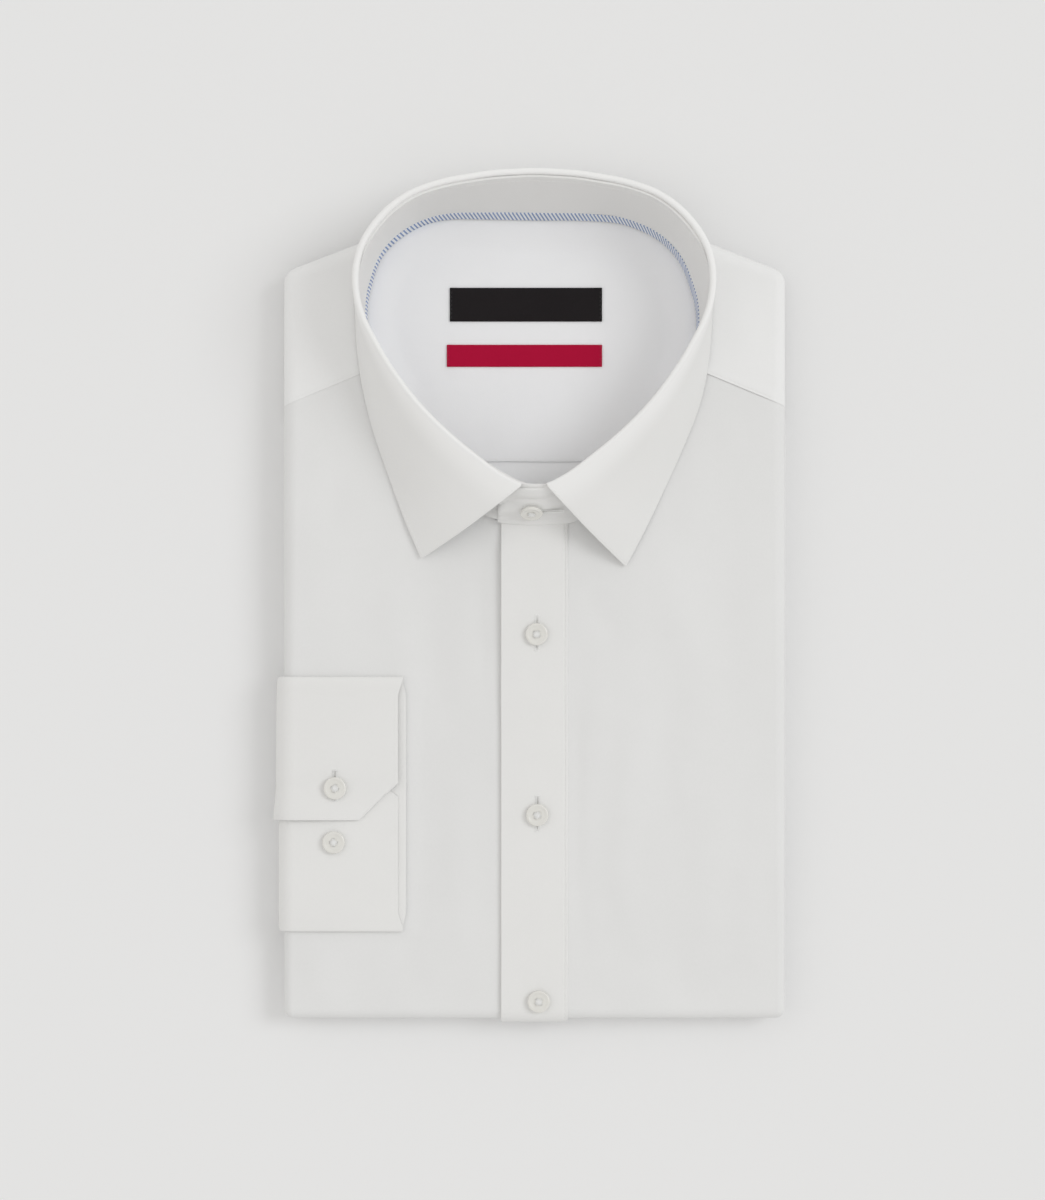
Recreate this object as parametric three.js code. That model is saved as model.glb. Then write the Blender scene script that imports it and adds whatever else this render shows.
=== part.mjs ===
// A folded dress shirt in poplin, lying face up as it is sold.
// Millimetres. +X points to the wearer's left, +Y to the collar and +Z up.
// The origin is the middle of the flat underside.
// Each cut piece is a closed wall: a grid of points on the cloth, moved out to its two faces.

import * as THREE from 'three';

// Folded body, as seen from above, from the line of the buttons. MIDDLE is the middle of the
// whole shirt with its cuff and collar, measured the same way.
const BODY = { left: -115.3, right: 115.9, hem: -194.2, shoulder: 150.2, neckX: 18, neckY: 187.6 };
const MIDDLE = { x: -1.6, y: -0.67 };
const YOKE_SEAM = { centreY: 136, slope: 0.413 };
const CLOTH = 1.2;
const GAP = 0.35;

// Stack of hidden layers, and the fronts' fold round its edge.
const LAYER_HEIGHT = 3;
const LAYER_COUNT = 2;
const STACK_TOP = 12.6;
const WRAP_FLOOR = 6.4;
const WRAP_TURN = Math.PI * 0.94;
const CORNER_CUT = 4.2;
const SHOULDER_COSINE = 0.934;

// Height of the fronts' upper face along the shirt, from hem to back neck.
const FRONT_HEIGHT = [
  { y: -194, z: 15.4 },
  { y: -150, z: 16.6 },
  { y: -60, z: 18.0 },
  { y: 20, z: 20.0 },
  { y: 100, z: 20.8 },
  { y: 150, z: 19.6 },
  { y: 188, z: 18.0 },
];
const CROWN = 1.2;
const NECK_LIFT = { height: 3.2, y: 30, spreadX: 42, spreadY: 30 };

// Half of the collar from the centre back to the centre front; the other half mirrors it.
// The neck seam carries the stand, and the fold is the outermost line of the roll.
const NECK_SEAM = [
  { at: 0, x: 0, y: 175.4 },
  { at: 0.08, x: 19.2, y: 175.6 },
  { at: 0.165, x: 39.1, y: 175.2 },
  { at: 0.21, x: 49.2, y: 172.5 },
  { at: 0.25, x: 57.8, y: 168.3 },
  { at: 0.29, x: 65.5, y: 162 },
  { at: 0.33, x: 71.2, y: 154 },
  { at: 0.42, x: 76.9, y: 135.1 },
  { at: 0.5, x: 76.7, y: 115.2 },
  { at: 0.67, x: 62.2, y: 79 },
  { at: 0.83, x: 35, y: 50.8 },
  { at: 0.908, x: 20.5, y: 36.4 },
  { at: 1, x: 0, y: 35.1 },
];
const COLLAR_FOLD = [
  { at: 0, x: 0, y: 194.85, z: 49 },
  { at: 0.08, x: 19.3, y: 193.76, z: 49.6 },
  { at: 0.165, x: 38.7, y: 190.5, z: 50.6 },
  { at: 0.21, x: 48.6, y: 187.7, z: 51.1 },
  { at: 0.25, x: 57.4, y: 184.2, z: 51.6 },
  { at: 0.29, x: 66, y: 178.2, z: 52 },
  { at: 0.33, x: 73.2, y: 170.7, z: 52.4 },
  { at: 0.375, x: 79.2, y: 161.4, z: 52.8 },
  { at: 0.42, x: 82, y: 151.4, z: 53 },
  { at: 0.46, x: 82.5, y: 143, z: 53 },
  { at: 0.5, x: 81.5, y: 134.8, z: 53 },
  { at: 0.545, x: 78.3, y: 124.8, z: 52.5 },
  { at: 0.59, x: 73.3, y: 115.6, z: 52 },
  { at: 0.63, x: 68.6, y: 107.2, z: 51.3 },
  { at: 0.67, x: 63.2, y: 99.2, z: 50.6 },
  { at: 0.71, x: 57, y: 90.8, z: 49.9 },
  { at: 0.75, x: 50, y: 82.8, z: 49.1 },
  { at: 0.79, x: 42.4, y: 75.4, z: 48.3 },
  { at: 0.83, x: 34.4, y: 68.4, z: 47.4 },
  { at: 0.87, x: 26.5, y: 62.2, z: 46.4 },
  { at: 0.91, x: 19, y: 56.4, z: 45.4 },
  { at: 0.945, x: 12.3, y: 52.3, z: 44.6 },
  { at: 0.972, x: 6.4, y: 49.4, z: 44 },
  { at: 1, x: 0, y: 48.2, z: 43.6 },
];
// The leaf's free edge on each side. Past the shoulder it lies on the fronts, behind it hangs.
const LEAF_EDGE = [
  { at: 0, leftX: 0, leftY: 193.8, rightX: 0, rightY: 193.8, hangZ: 8 },
  { at: 0.165, leftX: -38.6, leftY: 189.6, rightX: 38.6, rightY: 189.6, hangZ: 9.5 },
  { at: 0.25, leftX: -57.2, leftY: 182.8, rightX: 57.2, rightY: 182.8, hangZ: 12 },
  { at: 0.33, leftX: -73, leftY: 170.4, rightX: 73, rightY: 170.4, hangZ: 16.5 },
  { at: 0.42, leftX: -82, leftY: 153, rightX: 82, rightY: 153, hangZ: 0 },
  { at: 0.5, leftX: -82.4, leftY: 133, rightX: 82.2, rightY: 134, hangZ: 0 },
  { at: 0.58, leftX: -81.6, leftY: 110, rightX: 81.2, rightY: 112, hangZ: 0 },
  { at: 0.67, leftX: -76.4, leftY: 83, rightX: 77.4, rightY: 90, hangZ: 0 },
  { at: 0.75, leftX: -70, leftY: 64, rightX: 69, rightY: 69, hangZ: 0 },
  { at: 0.83, leftX: -64, leftY: 47, rightX: 59.6, rightY: 48.5, hangZ: 0 },
  { at: 0.91, leftX: -58.4, leftY: 32.2, rightX: 50.8, rightY: 30, hangZ: 0 },
  { at: 0.972, leftX: -52, leftY: 17.8, rightX: 42.3, rightY: 14.1, hangZ: 0 },
];
const LEAF_END = 0.972;
// Share of the half collar over which each line is smoothed.
const SMOOTHING = { seam: 0.03, fold: 0.018 };
const LEAF_BULGE = { back: 0.3, front: 3.0 };
const ROLL_RADIUS = 1.9;
const STAND = { wall: 1.4, overlap: 0.068, ply: 0.95, endHeight: 0.5, lap: 0.8 };
const TAPE = { reach: 0.62, low: -0.06, high: 0.15, wall: 1 };

// Button placket down the middle, and its buttons.
const PLACKET = { left: -15.2, right: 15.6, top: 34.6, wall: 1.5, turn: 0.7 };
// Distances from the button line at which a front's grid has a column, close at the neck curve.
const FRONT_COLUMNS = [-5, 4, 14, 24, 34, 44, 53, 60, 66, 71, 75, 80, 90, 100];
const BUTTON = { radius: 5.2, height: 2.5, lift: 0.3 };
const PLACKET_BUTTONS = [{ x: 1.2, y: -16.7 }, { x: 1.5, y: -100 }, { x: 2.2, y: -186 }];
const COLLAR_BUTTON = { x: -1.2, rise: 0.4 };

// Inside of the neck: yoke facing, back panel and two sewn-in labels.
const FACING = { halfWidth: 98, seamY: 62.7, topZ: 14.0, edge: 9 };
const BACK_PANEL = { halfWidth: 98, endY: 28, topZ: 13.9 };
const LABELS = [
  { name: 'label_dark', x: -3.7, y: 135.2, width: 70.2, depth: 15.6, colour: 0x282425 },
  { name: 'label_red', x: -4.4, y: 111.6, width: 71.6, depth: 10.2, colour: 0xa91035 },
];

// Right cuff, laid across the front with its hem to the middle. Its section runs from the
// overlap's edge up round the upper fold, down the ply beneath and round into the underlap.
const CUFF = { hem: -62.6, backHem: -58.9, overlapY: -102.3, mitreX: -81, mitreY: -84.5, wall: 1 };
const CUFF_SECTION = [
  { y: -102.3, lift: 3.4 },
  { y: -80, lift: 3.4 },
  { y: -58, lift: 3.2 },
  { y: -39.6, lift: 2.9 },
  { y: -37.2, lift: 2.5 },
  { y: -36.9, lift: 1.6 },
  { y: -38.8, lift: 0.85 },
  { y: -70, lift: 0.85 },
  { y: -110, lift: 0.85 },
  { y: -151.4, lift: 0.85 },
  { y: -153.4, lift: 1.4 },
  { y: -152.4, lift: 2.1 },
  { y: -130, lift: 2.1 },
  { y: -104, lift: 2.1 },
  { y: -74, lift: 2.1 },
];
const CUFF_BUTTONS = [{ x: -91.5, y: -87.6, lift: 3.9 }, { x: -92.2, y: -112.6, lift: 2.6 }];
const CUFF_TURN = 0.56;
const SLEEVE = { top: -41, bottom: -150, inner: 0.35, outer: 2.6, start: 0.58, tuck: 4 };

const CLOTH_WHITE = 0xf2f2f2;
const BUTTON_WHITE = 0xf4f2ee;
const TAPE_BLUE = 0xa6aeb8;

const shirt = new THREE.Group();

const clamp = (value, low, high) => Math.min(high, Math.max(low, value));
const mix = (from, to, share) => from + (to - from) * share;
const steps = (count) => Array.from({ length: count + 1 }, (_, index) => index / count);
const smooth = (value) => {
  const share = clamp(value, 0, 1);
  return share * share * (3 - 2 * share);
};

// Value of one column of a table, linear between its rows.
function readTable(table, key, column, value) {
  const last = table.length - 1;
  const next = clamp(table.findIndex((row) => row[key] > value), 1, last);
  const index = value >= table[last][key] ? last : next;
  const [before, after] = [table[index - 1], table[index]];
  const share = clamp((value - before[key]) / (after[key] - before[key]), 0, 1);
  return mix(before[column], after[column], share);
}

// Upper face of the fronts and yoke.
function frontHeight(x, y) {
  const across = x / NECK_LIFT.spreadX;
  const along = (y - NECK_LIFT.y) / NECK_LIFT.spreadY;
  const lift = NECK_LIFT.height * Math.exp(-across * across - along * along);
  return readTable(FRONT_HEIGHT, 'y', 'z', y) + lift - CROWN * (x / BODY.right) ** 4;
}

// ---- closed walls ----

function addMesh(name, geometry, colour, roughness) {
  const material = new THREE.MeshStandardMaterial({ color: colour, roughness, metalness: 0 });
  const mesh = new THREE.Mesh(geometry, material);
  mesh.name = name;
  mesh.geometry.translate(-MIDDLE.x, -MIDDLE.y, 0);
  shirt.add(mesh);
}

function closedGeometry(points, triangles) {
  const [a, b, c] = [new THREE.Vector3(), new THREE.Vector3(), new THREE.Vector3()];
  let volume = 0;
  for (const [i, j, k] of triangles) {
    volume += a.copy(points[i]).dot(b.copy(points[j]).cross(c.copy(points[k])));
  }
  const facing = volume > 0 ? triangles : triangles.map(([i, j, k]) => [i, k, j]);
  const geometry = new THREE.BufferGeometry().setFromPoints(points);
  geometry.setIndex(facing.flat());
  geometry.computeVertexNormals();
  return geometry;
}

// Normal of a grid at a point. Where two edges fold onto each other at a corner, the next
// point inwards gives it.
function gridNormal(rows, i, j) {
  const row = rows[i];
  const along = row[Math.min(j + 1, row.length - 1)].clone().sub(row[Math.max(j - 1, 0)]);
  const down = rows[Math.min(i + 1, rows.length - 1)][j].clone().sub(rows[Math.max(i - 1, 0)][j]);
  const normal = along.clone().cross(down);
  const isFlat = normal.length() < 0.35 * along.length() * down.length();
  const isCorner = i === rows.length - 1 && j === row.length - 1;
  return isFlat && isCorner ? gridNormal(rows, i - 1, j - 1) : normal.normalize();
}

// Wall between two faces, both made from the same grid of points moved along its normals.
function wall(rows, nearFace, farFace) {
  const depth = rows.length;
  const width = rows[0].length;
  const face = (distance) => rows.flatMap((row, i) =>
    row.map((point, j) => point.clone().addScaledVector(gridNormal(rows, i, j), distance)));
  const points = [...face(nearFace), ...face(farFace)];
  const layer = depth * width;
  const triangles = [];
  const quad = (a, b, c, d) => triangles.push([a, b, c], [a, c, d]);
  for (let i = 0; i < depth - 1; i += 1) {
    for (let j = 0; j < width - 1; j += 1) {
      const corner = i * width + j;
      quad(corner, corner + 1, corner + width + 1, corner + width);
      quad(layer + corner, layer + corner + width, layer + corner + width + 1, layer + corner + 1);
    }
  }
  const rim = (a, b) => quad(a, layer + a, layer + b, b);
  for (let j = 0; j < width - 1; j += 1) {
    rim(j, j + 1);
    rim((depth - 1) * width + j + 1, (depth - 1) * width + j);
  }
  for (let i = 0; i < depth - 1; i += 1) {
    rim((i + 1) * width, i * width);
    rim((i + 1) * width - 1, (i + 2) * width - 1);
  }
  return closedGeometry(points, triangles);
}

// ---- outline of the folded body ----

// Corner points with their outward mitres, and plain points between them.
function bodyOutline(spacing) {
  const seamY = YOKE_SEAM.centreY - YOKE_SEAM.slope * BODY.right;
  const corners = [
    [BODY.right, BODY.hem], [BODY.right, seamY], [BODY.right, BODY.shoulder],
    [BODY.neckX, BODY.neckY], [-BODY.neckX, BODY.neckY], [BODY.left, BODY.shoulder],
    [BODY.left, seamY], [BODY.left, SLEEVE.top + 4], [BODY.left, SLEEVE.top + 1],
    [BODY.left, SLEEVE.bottom - 1], [BODY.left, SLEEVE.bottom - 4], [BODY.left, BODY.hem],
  ].map(([x, y]) => new THREE.Vector2(x, y));
  const cut = corners.flatMap((corner, index) => {
    const toBefore = corners.at(index - 1).clone().sub(corner).normalize();
    const toAfter = corners[(index + 1) % corners.length].clone().sub(corner).normalize();
    const straight = toBefore.dot(toAfter) < -0.99;
    if (straight) return [corner];
    return [toBefore, toAfter].map((way) => corner.clone().addScaledVector(way, CORNER_CUT));
  });
  const normalOf = (from, to) => new THREE.Vector2(to.y - from.y, from.x - to.x).normalize();
  return cut.flatMap((point, index) => {
    const before = cut.at(index - 1);
    const after = cut[(index + 1) % cut.length];
    const ahead = normalOf(point, after);
    const mitre = normalOf(before, point).add(ahead).normalize();
    mitre.divideScalar(mitre.dot(ahead));
    const count = Math.max(1, Math.round(point.distanceTo(after) / spacing));
    return Array.from({ length: count }, (_, part) => ({
      spot: point.clone().lerp(after, part / count),
      out: part === 0 ? mitre : ahead,
    }));
  });
}

const inset = (sample, distance) => sample.spot.clone().addScaledVector(sample.out, -distance);
const wrapRadius = (x, y) => (frontHeight(x * 0.95, y) - WRAP_FLOOR) / 2;

// ---- hidden layers ----

function foldedLayers() {
  const outline = bodyOutline(21);
  const centre = new THREE.Vector3(0, -10, 0);
  const onLeftPocket = ({ spot }) =>
    spot.x < BODY.left + 1 && spot.y > SLEEVE.bottom - 2 && spot.y < SLEEVE.top + 2;
  const rows = [];
  for (let layer = 0; layer < LAYER_COUNT; layer += 1) {
    const isUpper = layer === LAYER_COUNT - 1;
    for (const [height, tuck] of [[0, 2.2], [0.16, 0.8], [0.5, 0.3], [0.84, 0.8], [0.97, 2.2]]) {
      rows.push(outline.map((sample) => {
        const pocket = isUpper && onLeftPocket(sample) ? SLEEVE.tuck + 8 : 0;
        const { x, y } = inset(sample, tuck + pocket);
        return new THREE.Vector3(x, y, (layer + height) * LAYER_HEIGHT);
      }));
    }
  }
  const upper = [
    (radius) => ({ z: WRAP_FLOOR - 0.3, tuck: radius + 0.5 }),
    (radius) => ({ z: WRAP_FLOOR + CLOTH + 0.5, tuck: radius + 0.5 }),
    (radius) => ({ z: Math.min(WRAP_FLOOR + radius, STACK_TOP - 1.5), tuck: CLOTH + 1.4 }),
    (radius) => ({ z: STACK_TOP, tuck: radius + 0.5 }),
  ];
  for (const place of upper) {
    rows.push(outline.map((sample) => {
      const { z, tuck } = place(wrapRadius(sample.spot.x, sample.spot.y));
      const pocket = onLeftPocket(sample) && z < WRAP_FLOOR ? SLEEVE.tuck + 4 : 0;
      const { x, y } = inset(sample, tuck + pocket);
      return new THREE.Vector3(x, y, z);
    }));
  }
  const count = outline.length;
  const points = rows.flat();
  const triangles = [];
  for (let i = 0; i < rows.length - 1; i += 1) {
    for (let j = 0; j < count; j += 1) {
      const [a, b] = [i * count + j, i * count + (j + 1) % count];
      triangles.push([a, b, b + count], [a, b + count, a + count]);
    }
  }
  const [bottom, top] = [points.length, points.length + 1];
  points.push(centre.clone(), centre.clone().setZ(STACK_TOP));
  for (let j = 0; j < count; j += 1) {
    const after = (j + 1) % count;
    triangles.push([bottom, after, j]);
    triangles.push([top, (rows.length - 1) * count + j, (rows.length - 1) * count + after]);
  }
  addMesh('folded_layers', closedGeometry(points, triangles), CLOTH_WHITE, 0.85);
}

// Fold line of the shoulders and the back neck.
function shoulderLine(x) {
  const slope = (BODY.neckY - BODY.shoulder) / (BODY.right - BODY.neckX);
  return Math.min(BODY.neckY, BODY.shoulder + slope * (BODY.right - Math.abs(x)));
}

// How far the cloth has turned down into that fold at a point near it.
function shoulderDrop(x, y) {
  const radius = wrapRadius(x, y);
  const past = clamp(radius - SHOULDER_COSINE * (shoulderLine(x) - y), 0, radius * 0.95);
  return radius - Math.sqrt(radius * radius - past * past);
}

// ---- collar ----

// Point of a collar line, smooth between its table's rows. Past the centre front it goes on
// along the mirrored half, where the stand's ends overlap.
function ringPoint(table, station) {
  const past = Math.abs(station) > 1;
  const at = past ? 2 - Math.abs(station) : Math.abs(station);
  const side = (past ? -1 : 1) * (Math.sign(station) || 1);
  const read = (column, spot) => readTable(table, 'at', column, spot);
  const blur = table === COLLAR_FOLD ? SMOOTHING.fold : SMOOTHING.seam;
  const average = (column, odd) => [-1, -0.5, 0, 0.5, 1].reduce((sum, offset) => {
    const spot = at + offset * blur;
    const folded = spot > 1 ? 2 - spot : Math.abs(spot);
    const sign = odd && (spot < 0 || spot > 1) ? -1 : 1;
    return sum + sign * read(column, folded) / 5;
  }, 0);
  const z = table[0].z === undefined ? 0 : average('z', false);
  return new THREE.Vector3(side * average('x', true), average('y', false), z);
}

function ringOutward(table, station) {
  const before = ringPoint(table, station - 0.01);
  const after = ringPoint(table, station + 0.01);
  return new THREE.Vector3(before.y - after.y, after.x - before.x, 0).normalize();
}

// Foot of the stand, which laps the neck edge of the yoke, the fronts and the placket.
function neckSeam(station) {
  const point = ringPoint(NECK_SEAM, station);
  const onPlacket = (PLACKET.wall + GAP) * smooth((40 - Math.abs(point.x)) / 18);
  const onFront = frontHeight(point.x, point.y) - shoulderDrop(point.x, point.y);
  return point.setZ(onFront + STAND.lap + (point.y < YOKE_SEAM.centreY ? onPlacket : 0));
}

// Stand from the neck seam (rise 0) to just under the leaf's roll (rise 1).
function standPoint(station, rise) {
  const seam = neckSeam(station);
  const out = ringOutward(COLLAR_FOLD, station);
  const top = ringPoint(COLLAR_FOLD, station);
  top.addScaledVector(out, 0.7 - 2 * ROLL_RADIUS).setZ(top.z - ROLL_RADIUS - 2);
  const beyond = clamp((Math.abs(station) - 1) / STAND.overlap, 0, 1);
  const height = mix(1, STAND.endHeight, beyond ** 2.5);
  const ply = Math.sign(station) * STAND.ply * smooth((Math.abs(station) - 0.86) / 0.08);
  return seam.lerp(top, rise * height).addScaledVector(out, ply);
}

function collarStand() {
  const reach = 1 + STAND.overlap;
  const rows = steps(4).map((rise) =>
    steps(62).map((share) => standPoint(mix(-reach, reach, share), rise)));
  addMesh('collar_stand', wall(rows, -STAND.wall / 2, STAND.wall / 2), CLOTH_WHITE, 0.8);
}

function neckTape() {
  const rows = [TAPE.low, TAPE.high].map((rise) =>
    steps(36).map((share) => standPoint(mix(-TAPE.reach, TAPE.reach, share), rise)));
  const face = STAND.wall / 2 + GAP;
  addMesh('neck_tape', wall(rows, face, face + TAPE.wall), TAPE_BLUE, 0.8);
}

function leafEdge(station) {
  const at = Math.abs(station);
  const side = station < 0 ? 'left' : 'right';
  const read = (column, spot) => readTable(LEAF_EDGE, 'at', column, spot);
  const [x, y] = [read(`${side}X`, at), read(`${side}Y`, at)];
  const resting = frontHeight(x, y) + CLOTH + 1.3;
  const onFront = smooth((at - 0.3) / 0.09);
  return new THREE.Vector3(x, y, mix(read('hangZ', Math.min(at, 0.33)), resting, onFront));
}

// Leaf from its seam inside the roll, over the fold and down to its free edge.
function collarLeaf() {
  const rows = steps(56).map((share) => {
    const station = mix(-LEAF_END, LEAF_END, share);
    const out = ringOutward(COLLAR_FOLD, station);
    const fold = ringPoint(COLLAR_FOLD, station);
    const axis = fold.clone().addScaledVector(out, -ROLL_RADIUS).setZ(fold.z - ROLL_RADIUS);
    const roll = (turn, drop) => axis.clone()
      .addScaledVector(out, -Math.cos(turn) * ROLL_RADIUS)
      .setZ(axis.z + Math.sin(turn) * ROLL_RADIUS - drop);
    const edge = leafEdge(station);
    const front = smooth((Math.abs(station) - 0.45) / 0.35);
    const bulge = mix(LEAF_BULGE.back, LEAF_BULGE.front, front);
    const away = out.clone().multiplyScalar(0.6).setZ(0.8);
    const fall = [0.14, 0.3, 0.48, 0.66, 0.84, 1].map((down) => {
      const hump = bulge * Math.sin(Math.PI * down ** 0.75);
      return roll(Math.PI, 0).lerp(edge, down).addScaledVector(away, hump);
    });
    const over = [0, 0.3, 0.55, 0.8, 1].map((part) => roll(part * Math.PI, part === 0 ? 0.8 : 0));
    return [...over, ...fall];
  });
  addMesh('collar_leaf', wall(rows, 0, CLOTH), CLOTH_WHITE, 0.8);
}

// ---- yoke, facing and back ----

function wrapped(sample, turn) {
  const radius = wrapRadius(sample.spot.x, sample.spot.y);
  const start = inset(sample, radius);
  const height = frontHeight(start.x, start.y);
  const spot = start.addScaledVector(sample.out, radius * Math.sin(turn));
  return new THREE.Vector3(spot.x, spot.y, height - radius * (1 - Math.cos(turn)));
}

// Neck seam by direction from the middle of the yoke, so that the front seams run straight.
function neckPointTowards(spot) {
  const wanted = Math.atan2(spot.y - YOKE_SEAM.centreY, spot.x);
  const unwrap = (angle) => (angle < -Math.PI / 2 ? angle + 2 * Math.PI : angle);
  const angleAt = (station) => {
    const point = ringPoint(NECK_SEAM, station);
    return unwrap(Math.atan2(point.y - YOKE_SEAM.centreY, point.x));
  };
  let [low, high] = [-0.8, 0.8];
  for (let step = 0; step < 30; step += 1) {
    const middle = (low + high) / 2;
    if (angleAt(middle) > unwrap(wanted)) low = middle;
    else high = middle;
  }
  return ringPoint(NECK_SEAM, low);
}

// The yoke runs from the neck seam to the shoulder fold and round it. Close to the collar the
// seam already lies on the fold, so that the cloth starts part of the way round.
function yokeSection(sample) {
  const neck = neckPointTowards(sample.spot);
  const radius = wrapRadius(sample.spot.x, sample.spot.y);
  const start = wrapped(sample, 0);
  const out = sample.out.clone().normalize();
  const flat = out.x * (start.x - neck.x) + out.y * (start.y - neck.y);
  const firstTurn = Math.asin(clamp(-flat / radius, 0, 0.95));
  const edge = wrapped(sample, firstTurn);
  const flatShare = flat > 0 ? 0.4 : 0;
  return steps(10).map((share) => {
    const round = clamp((share - flatShare) / (1 - flatShare), 0, 1);
    const point = wrapped(sample, mix(firstTurn, WRAP_TURN, round));
    const pull = clamp(1 - share / (flatShare || 1), 0, 1);
    point.x += (neck.x - edge.x) * pull;
    point.y += (neck.y - edge.y) * pull;
    if (share < flatShare) point.z = frontHeight(point.x, point.y);
    return point;
  });
}

function yoke() {
  const seamY = YOKE_SEAM.centreY - YOKE_SEAM.slope * BODY.right - 0.1;
  const outline = bodyOutline(15).filter(({ spot }) => spot.y > seamY);
  outline[0].out.set(1, -YOKE_SEAM.slope);
  outline.at(-1).out.set(-1, -YOKE_SEAM.slope);
  addMesh('yoke', wall(outline.map(yokeSection), 0, -CLOTH), CLOTH_WHITE, 0.85);
}

function flatSheet(halfWidth, lowY, highY, z) {
  return steps(4).map((up) => steps(10).map((across) => {
    const x = mix(-halfWidth, halfWidth, across);
    return new THREE.Vector3(x, mix(lowY(x), highY(x), up), z);
  }));
}

function innerBack() {
  const top = (x) => shoulderLine(x) - FACING.edge;
  const facing = flatSheet(FACING.halfWidth, () => FACING.seamY, top, FACING.topZ);
  addMesh('yoke_facing', wall(facing, 0, -1), CLOTH_WHITE, 0.85);
  const end = () => FACING.seamY - GAP;
  const panel = flatSheet(BACK_PANEL.halfWidth, () => BACK_PANEL.endY, end, BACK_PANEL.topZ);
  addMesh('back_panel', wall(panel, 0, -1), CLOTH_WHITE, 0.85);
}

function label({ name, x, y, width, depth, colour }) {
  const rows = steps(2).map((up) => steps(6).map((across) =>
    new THREE.Vector3(x + width * (across - 0.5), y + depth * (up - 0.5), FACING.topZ)));
  addMesh(name, wall(rows, GAP, GAP + 1), colour, 0.7);
}

// ---- fronts and placket ----

// Upper edge of a front at x: the neck seam, then the yoke seam.
function frontTop(x) {
  const reach = Math.abs(x);
  const neckEdge = (station) => {
    const point = ringPoint(NECK_SEAM, station);
    const ply = STAND.ply * smooth((24 - point.x) / 8);
    return point.addScaledVector(ringOutward(NECK_SEAM, station), ply);
  };
  const seam = YOKE_SEAM.centreY - YOKE_SEAM.slope * reach - GAP - 0.05;
  if (reach > neckEdge(0.52).x) return seam;
  let [low, high] = [0.52, 1];
  for (let step = 0; step < 30; step += 1) {
    const middle = (low + high) / 2;
    if (neckEdge(middle).x > reach) low = middle;
    else high = middle;
  }
  return Math.min(seam, neckEdge(low).y);
}

// A front from its inner edge to the side fold and from neck to hem fold. The square corner of
// the grid turns both ways at once, as a quarter of a ball.
function front(name, innerX, sideX, lift) {
  const way = Math.sign(sideX);
  const turns = steps(5).slice(1);
  const columns = [innerX * way, ...FRONT_COLUMNS.filter((x) => x > innerX * way + 4), 0];
  const across = [...columns.map((_, index) => index / (columns.length - 1)),
    ...turns.map((turn) => 1 + turn)];
  const down = [...steps(11).map((share) => share ** 1.15), ...turns.map((turn) => 1 + turn)];
  const rows = down.map((v) => across.map((u, column) => {
    const [sideTurn, hemTurn] = [Math.max(0, u - 1), Math.max(0, v - 1)];
    const flat = Math.min(v, 1);
    const sideY = mix(frontTop(sideX), BODY.hem, flat);
    const sideStart = sideX - way * wrapRadius(sideX, sideY);
    const x = column < columns.length - 1 ? way * columns[column] : sideStart;
    const y = mix(frontTop(x), BODY.hem + wrapRadius(x, BODY.hem), flat);
    const radius = sideTurn > 0 ? wrapRadius(sideX, sideY) : wrapRadius(x, BODY.hem);
    const turn = Math.max(sideTurn, hemTurn) * WRAP_TURN;
    const heading = Math.atan2(hemTurn, sideTurn);
    const reach = radius * Math.sin(turn);
    const seamSlope = YOKE_SEAM.slope * reach * (1 - flat) ** 2;
    const dx = turn > 0 ? way * reach * Math.cos(heading) : 0;
    const dy = turn > 0 ? -reach * Math.sin(heading) - seamSlope : 0;
    const drop = radius * (1 - Math.cos(turn)) * (1 + lift(x) / 20);
    return new THREE.Vector3(x + dx, y + dy, frontHeight(x, y) + lift(x) - drop);
  }));
  addMesh(name, wall(rows, 0, way * CLOTH), CLOTH_WHITE, 0.85);
}

function placket() {
  const radius = wrapRadius(0, BODY.hem);
  const rows = [...steps(20), ...steps(4).slice(1).map((turn) => 1 + turn)].map((v) => {
    const turn = Math.max(0, v - 1) * PLACKET.turn * WRAP_TURN;
    return steps(3).map((across) => {
      const x = mix(PLACKET.left, PLACKET.right, across);
      const y = mix(PLACKET.top, BODY.hem + radius, Math.min(v, 1));
      const z = frontHeight(x, y) - radius * (1 - Math.cos(turn));
      return new THREE.Vector3(x, y - radius * Math.sin(turn), z);
    });
  });
  const under = -GAP;
  addMesh('placket', wall(rows, under, under - PLACKET.wall), CLOTH_WHITE, 0.8);
}

// ---- cuff and sleeve ----

// Point of the right-hand side of the body, moved out by lift. Along 0 is the middle of the
// shirt and along 1 the start of the side fold; past 1 it goes round the fold.
function onRightSide(x, y, turn, lift) {
  const radius = wrapRadius(BODY.left, y);
  const start = BODY.left + radius;
  const spot = Math.max(x, start);
  const height = frontHeight(spot, y);
  const reach = radius + lift;
  if (turn <= 0) return new THREE.Vector3(spot, y, height + lift);
  return new THREE.Vector3(start - reach * Math.sin(turn), y, height - radius + reach * Math.cos(turn));
}

function cuff() {
  const along = [...steps(5), ...steps(5).slice(1).map((turn) => 1 + turn)];
  const rows = along.map((share) => CUFF_SECTION.map(({ y, lift }, index) => {
    const isBack = index >= 6 && index <= 9;
    const hem = isBack ? CUFF.backHem : CUFF.hem;
    const x = mix(hem, BODY.left + wrapRadius(BODY.left, y), Math.min(share, 1));
    const mitre = clamp((x - CUFF.mitreX) / (CUFF.hem - CUFF.mitreX), 0, 1);
    const cut = (CUFF.mitreY - CUFF.overlapY) * mitre * [1, 0.4][index] || 0;
    const turn = Math.max(0, share - 1) * CUFF_TURN * Math.PI;
    return onRightSide(x, y + cut, turn, lift);
  }));
  addMesh('cuff', wall(rows, -CUFF.wall / 2, CUFF.wall / 2), CLOTH_WHITE, 0.8);
}

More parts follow.
